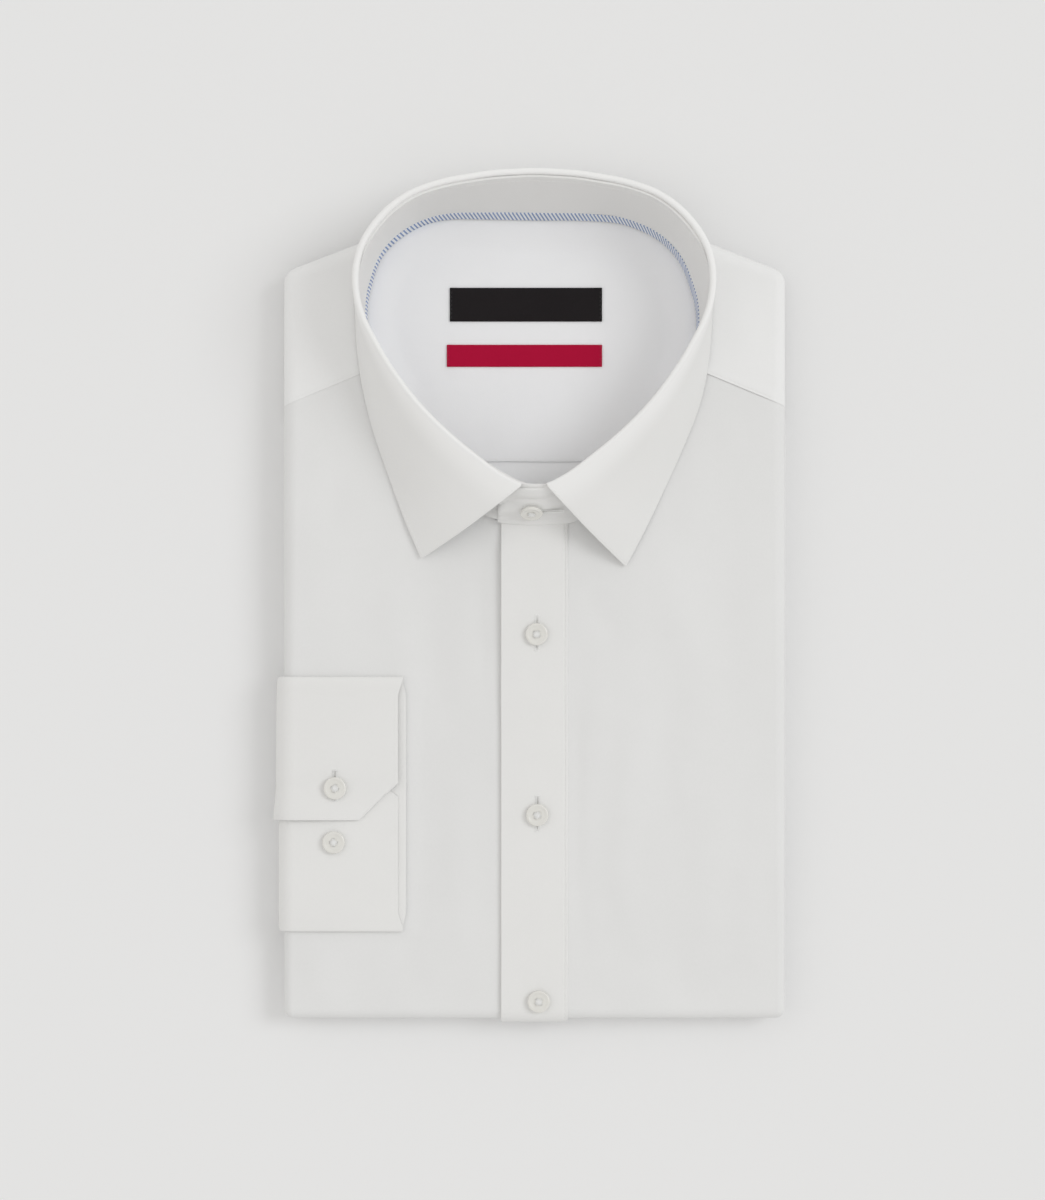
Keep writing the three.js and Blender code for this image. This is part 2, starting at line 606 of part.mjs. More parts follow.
function sleeve() {
  const middle = (SLEEVE.inner + SLEEVE.outer) / 2;
  const half = (SLEEVE.outer - SLEEVE.inner) / 2;
  const rows = [...steps(6).map((share) => mix(SLEEVE.start, 1, share)), 2].map((share) =>
    steps(6).map((down) => {
      const y = mix(SLEEVE.top, SLEEVE.bottom, down);
      const point = onRightSide(BODY.left, y, Math.min(share, 1) * Math.PI, middle);
      if (share > 1) point.x += SLEEVE.tuck;
      return point;
    }));
  addMesh('sleeve', wall(rows, -half, half), CLOTH_WHITE, 0.85);
}

// ---- buttons ----

function button(name, place, axis) {
  const profile = [
    [0, 0], [0.86, 0], [1, 0.34], [1, 0.66], [0.9, 1], [0.7, 0.9], [0.58, 0.66], [0, 0.6],
  ].map(([across, up]) => new THREE.Vector2(across * BUTTON.radius, up * BUTTON.height));
  const geometry = new THREE.LatheGeometry(profile, 16);
  const turn = new THREE.Quaternion().setFromUnitVectors(new THREE.Vector3(0, 1, 0), axis);
  geometry.applyQuaternion(turn);
  const spot = place.clone().addScaledVector(axis, BUTTON.lift);
  geometry.translate(spot.x, spot.y, spot.z);
  addMesh(name, geometry, BUTTON_WHITE, 0.3);
}

function buttons() {
  const up = new THREE.Vector3(0, 0, 1);
  PLACKET_BUTTONS.forEach(({ x, y }, index) => {
    const z = frontHeight(x, y) + GAP + PLACKET.wall;
    button(`front_button_${index + 1}`, new THREE.Vector3(x, y, z), up);
  });
  CUFF_BUTTONS.forEach(({ x, y, lift }, index) => {
    button(`cuff_button_${index + 1}`, new THREE.Vector3(x, y, frontHeight(x, y) + lift), up);
  });
  const low = standPoint(1, COLLAR_BUTTON.rise - 0.1);
  const high = standPoint(1, COLLAR_BUTTON.rise + 0.1);
  const rising = high.clone().sub(low).normalize();
  const axis = new THREE.Vector3(1, 0, 0).cross(rising).negate();
  if (axis.y > 0) axis.negate();
  const spot = low.lerp(high, 0.5).addScaledVector(axis, STAND.wall / 2 + 0.2);
  button('collar_button', spot.setX(COLLAR_BUTTON.x), axis);
}

foldedLayers();
innerBack();
LABELS.forEach(label);
yoke();
front('front_left', PLACKET.right + GAP, BODY.right, (x) => 1.2 * smooth((40 - x) / 22));
front('front_right', PLACKET.right - 0.2, BODY.left, () => 0);
placket();
collarStand();
neckTape();
collarLeaf();
cuff();
sleeve();
buttons();

export default shirt;
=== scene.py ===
"""A white poplin dress shirt, folded face up as it is sold.

Thin cloth, thread, woven labels and four-hole buttons over the frame's solids. Lengths in the
tables are millimetres from the line of the buttons; in_frame() turns a point into metres.
"""

from functools import lru_cache
from math import asin, atan2, copysign, cos, exp, hypot, pi, radians, sin, sqrt

import bmesh
import bpy
from mathutils import Matrix, Vector, noise


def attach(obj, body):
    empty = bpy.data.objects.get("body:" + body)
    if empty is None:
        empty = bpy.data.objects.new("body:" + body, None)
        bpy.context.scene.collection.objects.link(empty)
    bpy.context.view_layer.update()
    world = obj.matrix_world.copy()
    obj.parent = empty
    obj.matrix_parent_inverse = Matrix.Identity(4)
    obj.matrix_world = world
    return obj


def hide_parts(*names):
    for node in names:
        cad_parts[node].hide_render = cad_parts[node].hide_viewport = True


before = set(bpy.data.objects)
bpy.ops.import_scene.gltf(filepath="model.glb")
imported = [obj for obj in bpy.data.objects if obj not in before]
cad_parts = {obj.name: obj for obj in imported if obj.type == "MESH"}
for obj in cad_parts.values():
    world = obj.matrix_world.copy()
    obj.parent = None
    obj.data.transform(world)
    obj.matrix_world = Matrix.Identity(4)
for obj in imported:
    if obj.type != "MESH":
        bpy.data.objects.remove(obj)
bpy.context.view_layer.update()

MM = 0.001
UP = Vector((0, 0, 1))
MIDDLE = Vector((-1.6, -0.67, 0))

# ---- sizes of the folded shirt ----

LEFT, RIGHT, HEM, SHOULDER = -115.3, 115.9, -194.2, 150.2
NECK_X, NECK_Y = 18, 187.6
NECK_MIDDLE = 110
SEAM_Y, SEAM_SLOPE = 136, 0.413
WRAP_FLOOR = 6.4
WRAP_TURN = pi * 0.94
CORNER_CUT = 5.6
CROWN = 1.2

# Height of the fronts along the shirt: y, z.
FRONT_HEIGHT = [
    (-194, 15.4), (-150, 16.6), (-60, 18.0), (20, 20.0), (100, 20.8), (150, 19.6), (188, 18.0),
]
# Neck seam from the centre back to the centre front: station, then x and y on each side.
NECK_SEAM = [
    (0, 0, 175.4, 0, 175.4), (0.08, 19.2, 175.4, -19.2, 175.8), (0.165, 38.6, 174.4, -39.6, 176.0),
    (0.21, 48.4, 171.2, -50.0, 173.8), (0.25, 56.8, 167.2, -58.8, 169.4),
    (0.29, 63.8, 161.2, -67.2, 162.8), (0.33, 69.5, 153.5, -73.0, 154.6),
    (0.42, 75.8, 134.9, -78.0, 135.4), (0.5, 76.1, 115.2, -77.4, 115.2),
    (0.67, 62.2, 79.0, -62.2, 79.0), (0.83, 35.0, 50.8, -35.0, 50.8),
    (0.908, 20.5, 36.4, -20.5, 36.4), (1, 0, 35.1, 0, 35.1),
]
# The collar's fold, the outermost line of its roll: station, x, y, z.
COLLAR_FOLD = [
    (0, 0, 194.85, 49), (0.08, 19.3, 193.76, 49.6), (0.165, 38.7, 190.5, 50.6),
    (0.21, 48.6, 187.7, 51.1), (0.25, 57.4, 184.2, 51.6), (0.29, 66.0, 178.2, 52.0),
    (0.33, 73.2, 170.7, 52.4), (0.375, 79.2, 161.4, 52.8), (0.42, 82.0, 151.4, 53),
    (0.46, 82.5, 143.0, 53), (0.5, 81.5, 134.8, 53), (0.545, 78.3, 124.8, 52.5),
    (0.59, 73.3, 115.6, 52), (0.63, 68.6, 107.2, 51.3), (0.67, 63.2, 99.2, 50.6),
    (0.71, 57.0, 90.8, 49.9), (0.75, 50.0, 82.8, 49.1), (0.79, 42.4, 75.4, 48.3),
    (0.83, 34.4, 68.4, 47.4), (0.87, 26.5, 62.2, 46.4), (0.91, 19.0, 56.4, 45.4),
    (0.945, 12.3, 52.3, 44.6), (0.972, 6.4, 49.4, 44), (1, 0, 48.2, 43.6),
]
# The leaf's free edge: station, x and y on the wearer's right, x and y on the left, hanging z.
LEAF_EDGE = [
    (0, 0, 193.8, 0, 193.8, 8), (0.165, -38.6, 189.6, 38.6, 189.6, 9.5),
    (0.25, -57.2, 182.8, 57.2, 182.8, 12), (0.33, -73.0, 170.4, 73.0, 170.4, 16.5),
    (0.42, -82.0, 153.0, 82.0, 153.0, 0), (0.5, -82.4, 133.0, 82.2, 134.0, 0),
    (0.58, -81.6, 110.0, 81.2, 112.0, 0), (0.67, -76.4, 83.0, 77.4, 90.0, 0),
    (0.75, -70.0, 64.0, 69.0, 69.0, 0), (0.83, -64.0, 47.0, 59.6, 48.5, 0),
    (0.91, -58.4, 32.2, 50.8, 30.0, 0), (0.972, -52.0, 17.8, 42.3, 14.1, 0),
]
LEAF_END = 0.972
ROLL_SHARE = 0.24
STAND_OVERLAP, STAND_PLY, STAND_LAP = 0.0725, 0.95, 0.8

PLACKET_LEFT, PLACKET_RIGHT, PLACKET_TOP = -15.2, 15.6, 34.6
PLACKET_SEAM = PLACKET_RIGHT - 1.1
PLACKET_FLAT = 0.93
PLACKET_BUTTONS = [(1.2, -16.7), (1.5, -100), (2.2, -186)]
CUFF_BUTTONS = [(-91.5, -87.6, 3.9), (-92.2, -112.6, 2.6)]
FACING_SEAM, FACING_SIDE = 62.7, 98
LINING_HEIGHT, BACK_HEIGHT = 14.05, 13.3
SLEEVE_TOP, SLEEVE_BOTTOM = -41, -150
YOKE_STEPS = 44

# The cuff's section, from the overlap's edge round to the underlap: y, lift off the front.
CUFF_SECTION = [
    (-102.3, 3.4), (-92, 3.45), (-80, 3.4), (-58, 3.2), (-44, 3.0), (-39.4, 2.85), (-37.3, 2.45),
    (-36.9, 1.65), (-38.6, 0.95), (-44, 0.85), (-70, 0.85), (-110, 0.85), (-146, 0.85),
    (-151.4, 0.9), (-153.3, 1.4), (-152.2, 2.05), (-147, 2.1), (-130, 2.1), (-104, 2.1), (-74, 2.1),
]
CUFF_HEM, CUFF_BACK_HEM = -62.6, -58.9
# Edge of the cuff's overlap from the fold to the hem, with its mitred corner: x, y.
CUFF_EDGE = [(-120, -102.3), (-80.4, -102.3), (-61.5, -83.4), (-58, -80)]
CUFF_UNDER_EDGE = [(-120, -74), (-84.7, -74), (-61.5, -92.5), (-58, -95.3)]

# Soft creases of the body: x and y of both ends, height (a trough is below 0), half width.
CREASES = [
    (-42, 44, -40, -193, -1.5, 20), (54, 70, 60, -185, 1.4, 22), (27, 10, 25, -192, -0.9, 8),
    (-62, 22, -57, -48, 1.1, 9), (-47, 10, -36, -70, -0.8, 9), (-98, 60, -90, -20, 0.8, 12),
    (-30, -60, -28, -192, 0.7, 8), (-78, 66, -99, 20, -0.8, 9), (-103, -150, -92, -192, 0.9, 9),
    (-24, 22, -19, -42, -0.6, 5), (-56, -120, -52, -196, -0.7, 8), (-70, 104, -100, 74, 0.7, 8),
    (62, 34, 74, -36, 1.0, 9), (48, -50, 45, -170, 0.9, 8), (66, -20, 64, -120, -0.9, 9),
    (92, 40, 97, -80, -0.9, 11), (88, -70, 84, -180, 0.8, 10), (34, -20, 30, -190, 0.5, 7),
    (96, 84, 70, 30, 0.8, 9), (101, -110, 106, -194, 0.7, 8), (22, 12, 44, -28, -0.7, 7),
    (-92, 134, -70, 112, 0.5, 9), (84, 150, 104, 108, 0.6, 10), (60, -150, 78, -195, -0.7, 9),
]


def clamp(value, low, high):
    return min(high, max(low, value))


def mix(start, end, share):
    return start + (end - start) * share


def smooth(value):
    share = clamp(value, 0, 1)
    return share * share * (3 - 2 * share)


def bell(value, middle, width):
    return exp(-(((value - middle) / width) ** 2))


def halve(low, high, is_past, steps):
    """The last value between low and high that isn't past yet."""
    for _ in range(steps):
        middle = (low + high) / 2
        low, high = (low, middle) if is_past(middle) else (middle, high)
    return low


def read(table, column, value):
    """One column of a table, straight between its rows; the first column is the key."""
    for before, after in zip(table, table[1:]):
        if value <= after[0]:
            break
    share = clamp((value - before[0]) / (after[0] - before[0]), 0, 1)
    return mix(before[column], after[column], share)


def through(rows, value):
    """A point on a smooth line through all rows, value 0 at the first and 1 at the last."""
    spot = clamp(value, 0, 1) * (len(rows) - 1)
    index = min(int(spot), len(rows) - 2)
    share = spot - index
    picked = [rows[clamp(index + step, 0, len(rows) - 1)] for step in (-1, 0, 1, 2)]
    weights = (
        -0.5 * share + share**2 - 0.5 * share**3,
        1 - 2.5 * share**2 + 1.5 * share**3,
        0.5 * share + 2 * share**2 - 1.5 * share**3,
        -0.5 * share**2 + 0.5 * share**3,
    )
    return [sum(w * row[k] for w, row in zip(weights, picked)) for k in range(len(rows[0]))]


def uneven(x, y, size, seed):
    """A slow unevenness between about -1 and 1."""
    return noise.noise(Vector((x / size, y / size, seed)))


def crease(x, y):
    """Height of the soft creases at a point of the body."""
    height = 0.45 * uneven(x, y, 38, 3.1) + 0.12 * uneven(x, y, 13, 7.7)
    for x0, y0, x1, y1, lift, width in CREASES:
        dx, dy = x1 - x0, y1 - y0
        length = hypot(dx, dy)
        along = ((x - x0) * dx + (y - y0) * dy) / length**2
        if not 0 < along < 1:
            continue
        bow = 0.05 * length * sin(along * pi)
        aside = ((x - x0) * dy - (y - y0) * dx) / length - bow
        fade = smooth(along / 0.35) * smooth((1 - along) / 0.35)
        height += lift * fade * bell(aside, 0, width)
    return height


def front_height(x, y):
    lift = 3.2 * bell(x, 0, 42) * bell(y, 30, 30)
    return read(FRONT_HEIGHT, 1, y) + lift - CROWN * (x / RIGHT) ** 4


def wrap_radius(x, y):
    return (front_height(x * 0.95, y) - WRAP_FLOOR) / 2


def shoulder_line(x):
    slope = (NECK_Y - SHOULDER) / (RIGHT - NECK_X)
    return min(NECK_Y, SHOULDER + slope * (RIGHT - abs(x)))


def shoulder_drop(x, y):
    radius = wrap_radius(x, y)
    past = clamp(radius - 0.934 * (shoulder_line(x) - y), 0, radius * 0.95)
    return radius - sqrt(radius * radius - past * past)


# ---- lines of the collar ----

RINGS = {"seam": NECK_SEAM, "fold": COLLAR_FOLD}


@lru_cache(maxsize=None)
def ring_spot(ring, station):
    table = RINGS[ring]
    past = abs(station) > 1
    at = 2 - abs(station) if past else abs(station)
    side = copysign(1, station) * (-1 if past else 1)
    blur, column = (0.017, 1) if ring == "fold" else (0.024, 1 if side > 0 else 3)
    x = y = z = 0
    for offset in (-blur, -blur / 2, 0, blur / 2, blur):
        spot = at + offset
        folded = 2 - spot if spot > 1 else abs(spot)
        sign = -1 if spot < 0 or spot > 1 else 1
        x += sign * abs(read(table, column, folded)) / 5
        y += read(table, column + 1, folded) / 5
        z += read(table, 3, folded) / 5 if ring == "fold" else 0
    return side * x, y, z


def ring_point(ring, station):
    return Vector(ring_spot(ring, round(station, 6)))


def seam_point(station):
    return ring_point("seam", station)


def ring_outward(ring, station):
    before = ring_point(ring, station - 0.01)
    after = ring_point(ring, station + 0.01)
    return Vector((before.y - after.y, after.x - before.x, 0)).normalized()


def roll_radius(station):
    """The leaf's roll, fuller at the sides than at the front."""
    sides = smooth((abs(station) - 0.2) / 0.15) * smooth((0.62 - abs(station)) / 0.2)
    return 1.25 + 0.2 * smooth((0.5 - abs(station)) / 0.3) + 0.25 * sides


def stand_point(station, rise):
    """A point of the collar stand, rise 0 on the neck seam and 1 under the leaf's roll."""
    seam = seam_point(station)
    on_placket = 1.85 * smooth((40 - abs(seam.x)) / 18) if seam.y < SEAM_Y else 0
    seam.z = front_height(seam.x, seam.y) - shoulder_drop(seam.x, seam.y) + STAND_LAP + on_placket
    out = ring_outward("fold", station)
    radius = roll_radius(station)
    lip = mix(-0.6, 0.75, smooth((abs(station) - 0.34) / 0.12))
    fold = ring_point("fold", station)
    top = fold + out * (lip - 2 * radius)
    top.z = fold.z - radius - mix(0.3, 1.5, smooth(lip + 0.6))
    beyond = clamp((abs(station) - 1) / STAND_OVERLAP, 0, 1)
    ply = copysign(STAND_PLY, station) * smooth((abs(station) - 0.86) / 0.08)
    return seam.lerp(top, rise * mix(1, 0.5, beyond**2.5)) + out * ply


@lru_cache(maxsize=None)
def leaf_edge(station):
    """A point of the leaf's free edge, smoothed along its table."""
    at, side = abs(station), 1 if station < 0 else 3
    reach = min(0.035, at, LEAF_END - at)
    spots = [at + reach * part for part in (-1, -0.5, 0, 0.5, 1)]
    x, y = (sum(read(LEAF_EDGE, column, spot) for spot in spots) / 5 for column in (side, side + 1))
    lift = mix(0.85, 1.8, smooth((at - 0.78) / 0.15))
    resting = front_height(x, y) + front_crease(x, y) + lift
    hanging = read(LEAF_EDGE, 5, min(at, 0.33))
    return Vector((x, y, mix(hanging, resting, smooth((at - 0.3) / 0.09))))


def leaf_point(station, down):
    """A point of the leaf: down -1 to 0 goes over the roll, 0 to 1 falls to the free edge."""
    out = ring_outward("fold", station)
    fold, edge = ring_point("fold", station), leaf_edge(station)
    radius = roll_radius(station)
    axis = fold - out * radius
    axis.z = fold.z - radius
    flare = atan2((edge - fold).dot(out), fold.z - edge.z)
    turn = (1 + min(down, 0)) * (pi - clamp(flare + 0.15, 0, 1.1))
    roll = axis - out * (cos(turn) * radius)
    roll.z += sin(turn) * radius - (0.8 if down <= -1 else 0)
    if down <= 0:
        return roll
    front = smooth((abs(station) - 0.45) / 0.35)
    hump = mix(0.2, 2.3, front) * sin(pi * down)
    sway = 0.45 * uneven(station * 9, down * 1.6, 1, 4.2) * sin(pi * down) * front
    away = Vector((out.x * 0.6, out.y * 0.6, 0.8))
    return roll.lerp(edge, down) + away * (hump + sway)


# ---- cloth, thread and how a piece is kept ----


def in_frame(point):
    return (Vector(point) - MIDDLE) * MM


def cloth_grid(across, down, place, cut, aim):
    """A sheet of cloth. place(u, v) puts each point of the cut, and cut is its size in mm.

    aim is (u, v, way): the cloth's face there is turned to look that way.
    """
    cloth = bmesh.new()
    bmesh.ops.create_grid(cloth, x_segments=across, y_segments=down, size=0.5)
    weave = cloth.loops.layers.uv.new("cut")
    for face in cloth.faces:
        for loop in face.loops:
            u, v = loop.vert.co.x + 0.5, loop.vert.co.y + 0.5
            loop[weave].uv = (u * cut[0] * MM, v * cut[1] * MM)
    spots = {vert: (vert.co.x + 0.5, vert.co.y + 0.5) for vert in cloth.verts}
    for vert, (u, v) in spots.items():
        vert.co = in_frame(place(u, v))
    cloth.normal_update()
    u, v, way = aim
    near = min(cloth.verts, key=lambda vert: abs(spots[vert][0] - u) + abs(spots[vert][1] - v))
    if near.normal.dot(Vector(way)) < 0:
        bmesh.ops.reverse_faces(cloth, faces=cloth.faces)
    return cloth


def shown(name, data):
    thing = bpy.data.objects.new(name, data)
    bpy.context.scene.collection.objects.link(thing)
    return thing


def mesh_of(shape, name, finish):
    """The shape as a mesh with one finish."""
    mesh = bpy.data.meshes.new(name)
    shape.to_mesh(mesh)
    shape.free()
    mesh.materials.append(finish)
    return mesh


def keep(
    shape, name, finish, slot="poplin", wall=0, offset=-1, edge=0, stands_for=(), levels=0,
):
    """Makes a finished piece of the shape, with a wall and softened edges in mm."""
    mesh = mesh_of(shape, name, finish)
    mesh.shade_smooth()
    piece = shown(name, mesh)
    if wall:
        solid = piece.modifiers.new("wall", "SOLIDIFY")
        solid.thickness = wall * MM
        solid.offset = offset
    if edge:
        soft = piece.modifiers.new("soft edge", "BEVEL")
        soft.width = edge * MM
        soft.segments = 2
        soft.limit_method = "ANGLE"
        soft.angle_limit = radians(50)
    if levels:
        round_off = piece.modifiers.new("rounding", "SUBSURF")
        round_off.levels = round_off.render_levels = levels
    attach(piece, "root")
    if stands_for:
        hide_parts(*stands_for)
    return piece


def cover(name, finish, solid, grid, place, cut, aim=(0.5, 0.5, UP), **made):
    """Cloth in place of one solid of the frame; grid is its number of cells each way."""
    keep(cloth_grid(*grid, place, cut, aim), name, finish, stands_for=(solid,), **made)


def egg(shape, spot, half_axes, around=6, rings=4):
    turned = Matrix(half_axes).transposed() * MM
    bmesh.ops.create_uvsphere(
        shape, u_segments=around, v_segments=rings, radius=1,
        matrix=Matrix.Translation(in_frame(spot)) @ turned.to_4x4(),
    )


def stitch(thread, spot, along, up, length, width):
    """One stitch of thread lying on the cloth."""
    along = Vector(along).normalized()
    side = Vector(up).cross(along).normalized()
    up = along.cross(side)
    egg(thread, spot, (side * width / 2, up * width / 2, along * length / 2))


def stitch_row(thread, line, up, pitch=2.4, length=1.75, width=0.3):
    """Stitches along a line of points; up is the way the cloth faces, or one for each point."""
    ups = up if isinstance(up, list) else [Vector(up)] * len(line)
    wanted, walked = pitch / 2, 0
    for index in range(len(line) - 1):
        start, end = line[index], line[index + 1]
        step = (end - start).length
        while step > 0 and wanted <= walked + step:
            share = (wanted - walked) / step
            stitch(thread, start.lerp(end, share), end - start, ups[index], length, width)
            wanted += pitch
        walked += step


def line_of(place, count=80):
    return [Vector(place(index / count)) for index in range(count + 1)]


# ---- finishes ----


def join(tree, value, socket):
    """Sets a socket to a number or colour, or links another socket to it."""
    if isinstance(value, bpy.types.NodeSocket):
        tree.links.new(value, socket)
    elif value is not None:
        socket.default_value = value


def sums(tree, kind, first, second=None, third=None):
    node = tree.nodes.new("ShaderNodeMath")
    node.operation = kind
    for value, socket in zip((first, second, third), node.inputs):
        join(tree, value, socket)
    return node.outputs[0]


def weighed(tree, first, weight, second):
    """Two shades in one, the first by its weight and the second by the rest."""
    return sums(tree, "MULTIPLY_ADD", first, weight, sums(tree, "MULTIPLY", second, 1 - weight))


def blend_colour(tree, share, first, second):
    node = tree.nodes.new("ShaderNodeMix")
    node.data_type = "RGBA"
    join(tree, share, node.inputs["Factor"])
    join(tree, first, node.inputs["A"])
    join(tree, second, node.inputs["B"])
    return node.outputs["Result"]


def sides_of(tree, cut):
    """The two ways along a cut."""
    parts = tree.nodes.new("ShaderNodeSeparateXYZ")
    join(tree, cut, parts.inputs[0])
    return parts.outputs["X"], parts.outputs["Y"]


def cloud(tree, place, scale, detail):
    node = tree.nodes.new("ShaderNodeTexNoise")
    join(tree, place, node.inputs["Vector"])
    join(tree, scale, node.inputs["Scale"])
    join(tree, detail, node.inputs["Detail"])
    return node.outputs["Fac"]


def new_group(name, vector, numbers, made):
    """A node group with named sockets: a vector and numbers in, the made numbers out."""
    tree = bpy.data.node_groups.new(name, "ShaderNodeTree")
    tree.interface.new_socket(vector, in_out="INPUT", socket_type="NodeSocketVector")
    for label in numbers:
        tree.interface.new_socket(label, in_out="INPUT", socket_type="NodeSocketFloat")
    for label in made:
        tree.interface.new_socket(label, in_out="OUTPUT", socket_type="NodeSocketFloat")
    return tree, tree.nodes.new("NodeGroupInput").outputs, tree.nodes.new("NodeGroupOutput").inputs


def weave_group():
    """Plain weave: each thread goes over one and under the next."""
    tree, given, made = new_group("Plain weave", "Cut", ("Pitch",), ("Height", "Shade"))
    warp, weft = (
        sums(tree, "DIVIDE", side, given["Pitch"]) for side in sides_of(tree, given["Cut"])
    )
    crown = [
        sums(tree, "ABSOLUTE", sums(tree, "SINE", sums(tree, "MULTIPLY", way, pi)))
        for way in (warp, weft)
    ]
    steps = sums(tree, "ADD", sums(tree, "FLOOR", warp), sums(tree, "FLOOR", weft))
    over = sums(tree, "FLOORED_MODULO", steps, 2)
    node = tree.nodes.new("ShaderNodeMix")
    join(tree, over, node.inputs["Factor"])
    join(tree, crown[0], node.inputs["A"])
    join(tree, crown[1], node.inputs["B"])
    join(tree, node.outputs["Result"], made["Height"])
    join(tree, cloud(tree, given["Cut"], 900, 1), made["Shade"])
    return tree


def tone_group():
    """Slow unevenness of tone across a piece, around a half."""
    tree, given, made = new_group("Soft tone", "Place", ("Size",), ("Shade",))
    scale = sums(tree, "DIVIDE", 1.0, given["Size"])
    join(tree, cloud(tree, given["Place"], scale, 2), made["Shade"])
    return tree


def stripe_group():
    """Slanting stripes of dyed yarn along a tape."""
    tree, given, made = new_group("Slanting stripe", "Cut", ("Pitch", "Slant"), ("Mask",))
    along, down = sides_of(tree, given["Cut"])
    slid = sums(tree, "MULTIPLY_ADD", down, given["Slant"], along)
    turns = sums(tree, "MULTIPLY", sums(tree, "DIVIDE", slid, given["Pitch"]), 2 * pi)
    wave = sums(tree, "MULTIPLY_ADD", sums(tree, "SINE", turns), 1.8, 0.1)
    held = tree.nodes.new("ShaderNodeClamp")
    join(tree, wave, held.inputs["Value"])
    join(tree, held.outputs[0], made["Mask"])
    return tree


def fade_group():
    """Goes from 1 to 0 between two distances down the cut."""
    tree, given, made = new_group("Fade down the cut", "Cut", ("From", "To"), ("Mask",))
    span = tree.nodes.new("ShaderNodeMapRange")
    span.interpolation_type = "SMOOTHSTEP"
    down = sides_of(tree, given["Cut"])[1]
    for value, label in (
        (down, "Value"), (given["From"], "From Min"), (given["To"], "From Max"),
        (1.0, "To Min"), (0.0, "To Max"),
    ):
        join(tree, value, span.inputs[label])
    join(tree, span.outputs["Result"], made["Mask"])
    return tree


WEAVE, TONE, STRIPE, FADE = weave_group(), tone_group(), stripe_group(), fade_group()


def placed(tree, group, **values):
    node = tree.nodes.new("ShaderNodeGroup")
    node.node_tree = group
    for label, value in values.items():
        join(tree, value, node.inputs[label])
    return node.outputs


def new_finish(name, roughness, **constants):
    """A material with its Principled shader; further constants go by socket name."""
    finish = bpy.data.materials.new(name)
    finish.use_nodes = True
    tree = finish.node_tree
    shader = tree.nodes["Principled BSDF"]
    shader.inputs["Roughness"].default_value = roughness
    for label, value in constants.items():
        shader.inputs[label.replace("_", " ")].default_value = value
    return finish, tree, tree.nodes.new("ShaderNodeTexCoord").outputs["Object"]


def cut_of(tree):
    node = tree.nodes.new("ShaderNodeUVMap")
    node.uv_map = "cut"
    return node.outputs[0]


def coloured(finish, colour, height=None, distance=0, strength=0):
    """The finish with its colour and, for a height, its relief."""
    tree = finish.node_tree
    surface = tree.nodes["Principled BSDF"].inputs
    join(tree, colour, surface["Base Color"])
    if height is not None:
        bump = tree.nodes.new("ShaderNodeBump")
        bump.inputs["Distance"].default_value = distance
        bump.inputs["Strength"].default_value = strength
        join(tree, height, bump.inputs["Height"])
        join(tree, bump.outputs[0], surface["Normal"])
    return finish


def woven(
    name, dark, light, pitch=0.00022, roughness=0.78, strength=0.35, sheen=0.12, gloss=0.25,
    roll_highlight=None,
):
    """Woven cloth between two close tones, with its threads along the cut.

    pressed, if given, is a lighter tone at the start of the cut: a painted highlight along the
    collar's roll.
    """
    finish, tree, place = new_finish(
        name, roughness, Sheen_Weight=sheen, Sheen_Roughness=0.4, Specular_IOR_Level=gloss
    )
    cut = cut_of(tree)
    weave = placed(tree, WEAVE, Cut=cut, Pitch=pitch)
    tone = placed(tree, TONE, Place=place, Size=0.035)
    share = weighed(tree, weave["Shade"], 0.35, tone["Shade"])
    colour = blend_colour(tree, share, dark, light)
    # The lighter band over the collar's roll is a painted highlight.
    if roll_highlight:
        fade = placed(tree, FADE, Cut=cut, From=0.015, To=0.030)
        colour = blend_colour(tree, fade["Mask"], colour, roll_highlight)
    return coloured(finish, colour, weave["Height"], pitch * 0.3, strength)


POPLIN = woven("poplin", (0.812, 0.812, 0.806, 1), (0.87, 0.87, 0.865, 1))
# The yoke is the same poplin as the fronts, painted lighter: painted light on the shoulders, which
# face the light.
YOKE_PAINTED_LIGHTER = woven("yoke cloth with painted light", (0.885, 0.885, 0.88, 1), (0.935, 0.935, 0.93, 1))
# The placket, cuff and collar band use the fronts' poplin painted lighter: painted light on the
# raised pieces.
FUSED_PAINTED_LIGHTER = woven("interlined cloth with painted light", (0.84, 0.837, 0.825, 1), (0.895, 0.892, 0.88, 1))
COLLAR_BAND_PAINTED_LIGHTER = woven("collar poplin", (0.84, 0.837, 0.825, 1), (0.89, 0.887, 0.877, 1))
# The turned-down collar is the same poplin painted lighter, with a painted highlight along its
# roll.
FALL_PAINTED_LIGHTER = woven(
    "turned-down collar cloth with painted light", (0.84, 0.837, 0.825, 1), (0.89, 0.887, 0.877, 1),
    roll_highlight=(0.955, 0.953, 0.945, 1),
)
# The yoke lining and the inside of the back are the same white cloth painted lighter: painted light
# against the shade inside the neck.
LINING_PAINTED_LIGHTER = woven("yoke lining cloth with painted light", (0.905, 0.907, 0.92, 1), (0.945, 0.947, 0.96, 1))
INNER_BACK_PAINTED_LIGHTER = woven("back inside with painted light", (0.94, 0.945, 0.955, 1), (0.97, 0.972, 0.98, 1))
BLACK_SATIN = woven(
    "black satin label", (0.008, 0.006, 0.007, 1), (0.017, 0.014, 0.015, 1),
    pitch=0.0003, roughness=0.55, strength=0.5, sheen=0.0, gloss=0.12,
)
RED_SATIN = woven(
    "crimson satin label", (0.42, 0.002, 0.034, 1), (0.50, 0.005, 0.048, 1),
    pitch=0.0003, roughness=0.55, strength=0.5, sheen=0.0, gloss=0.08,
)


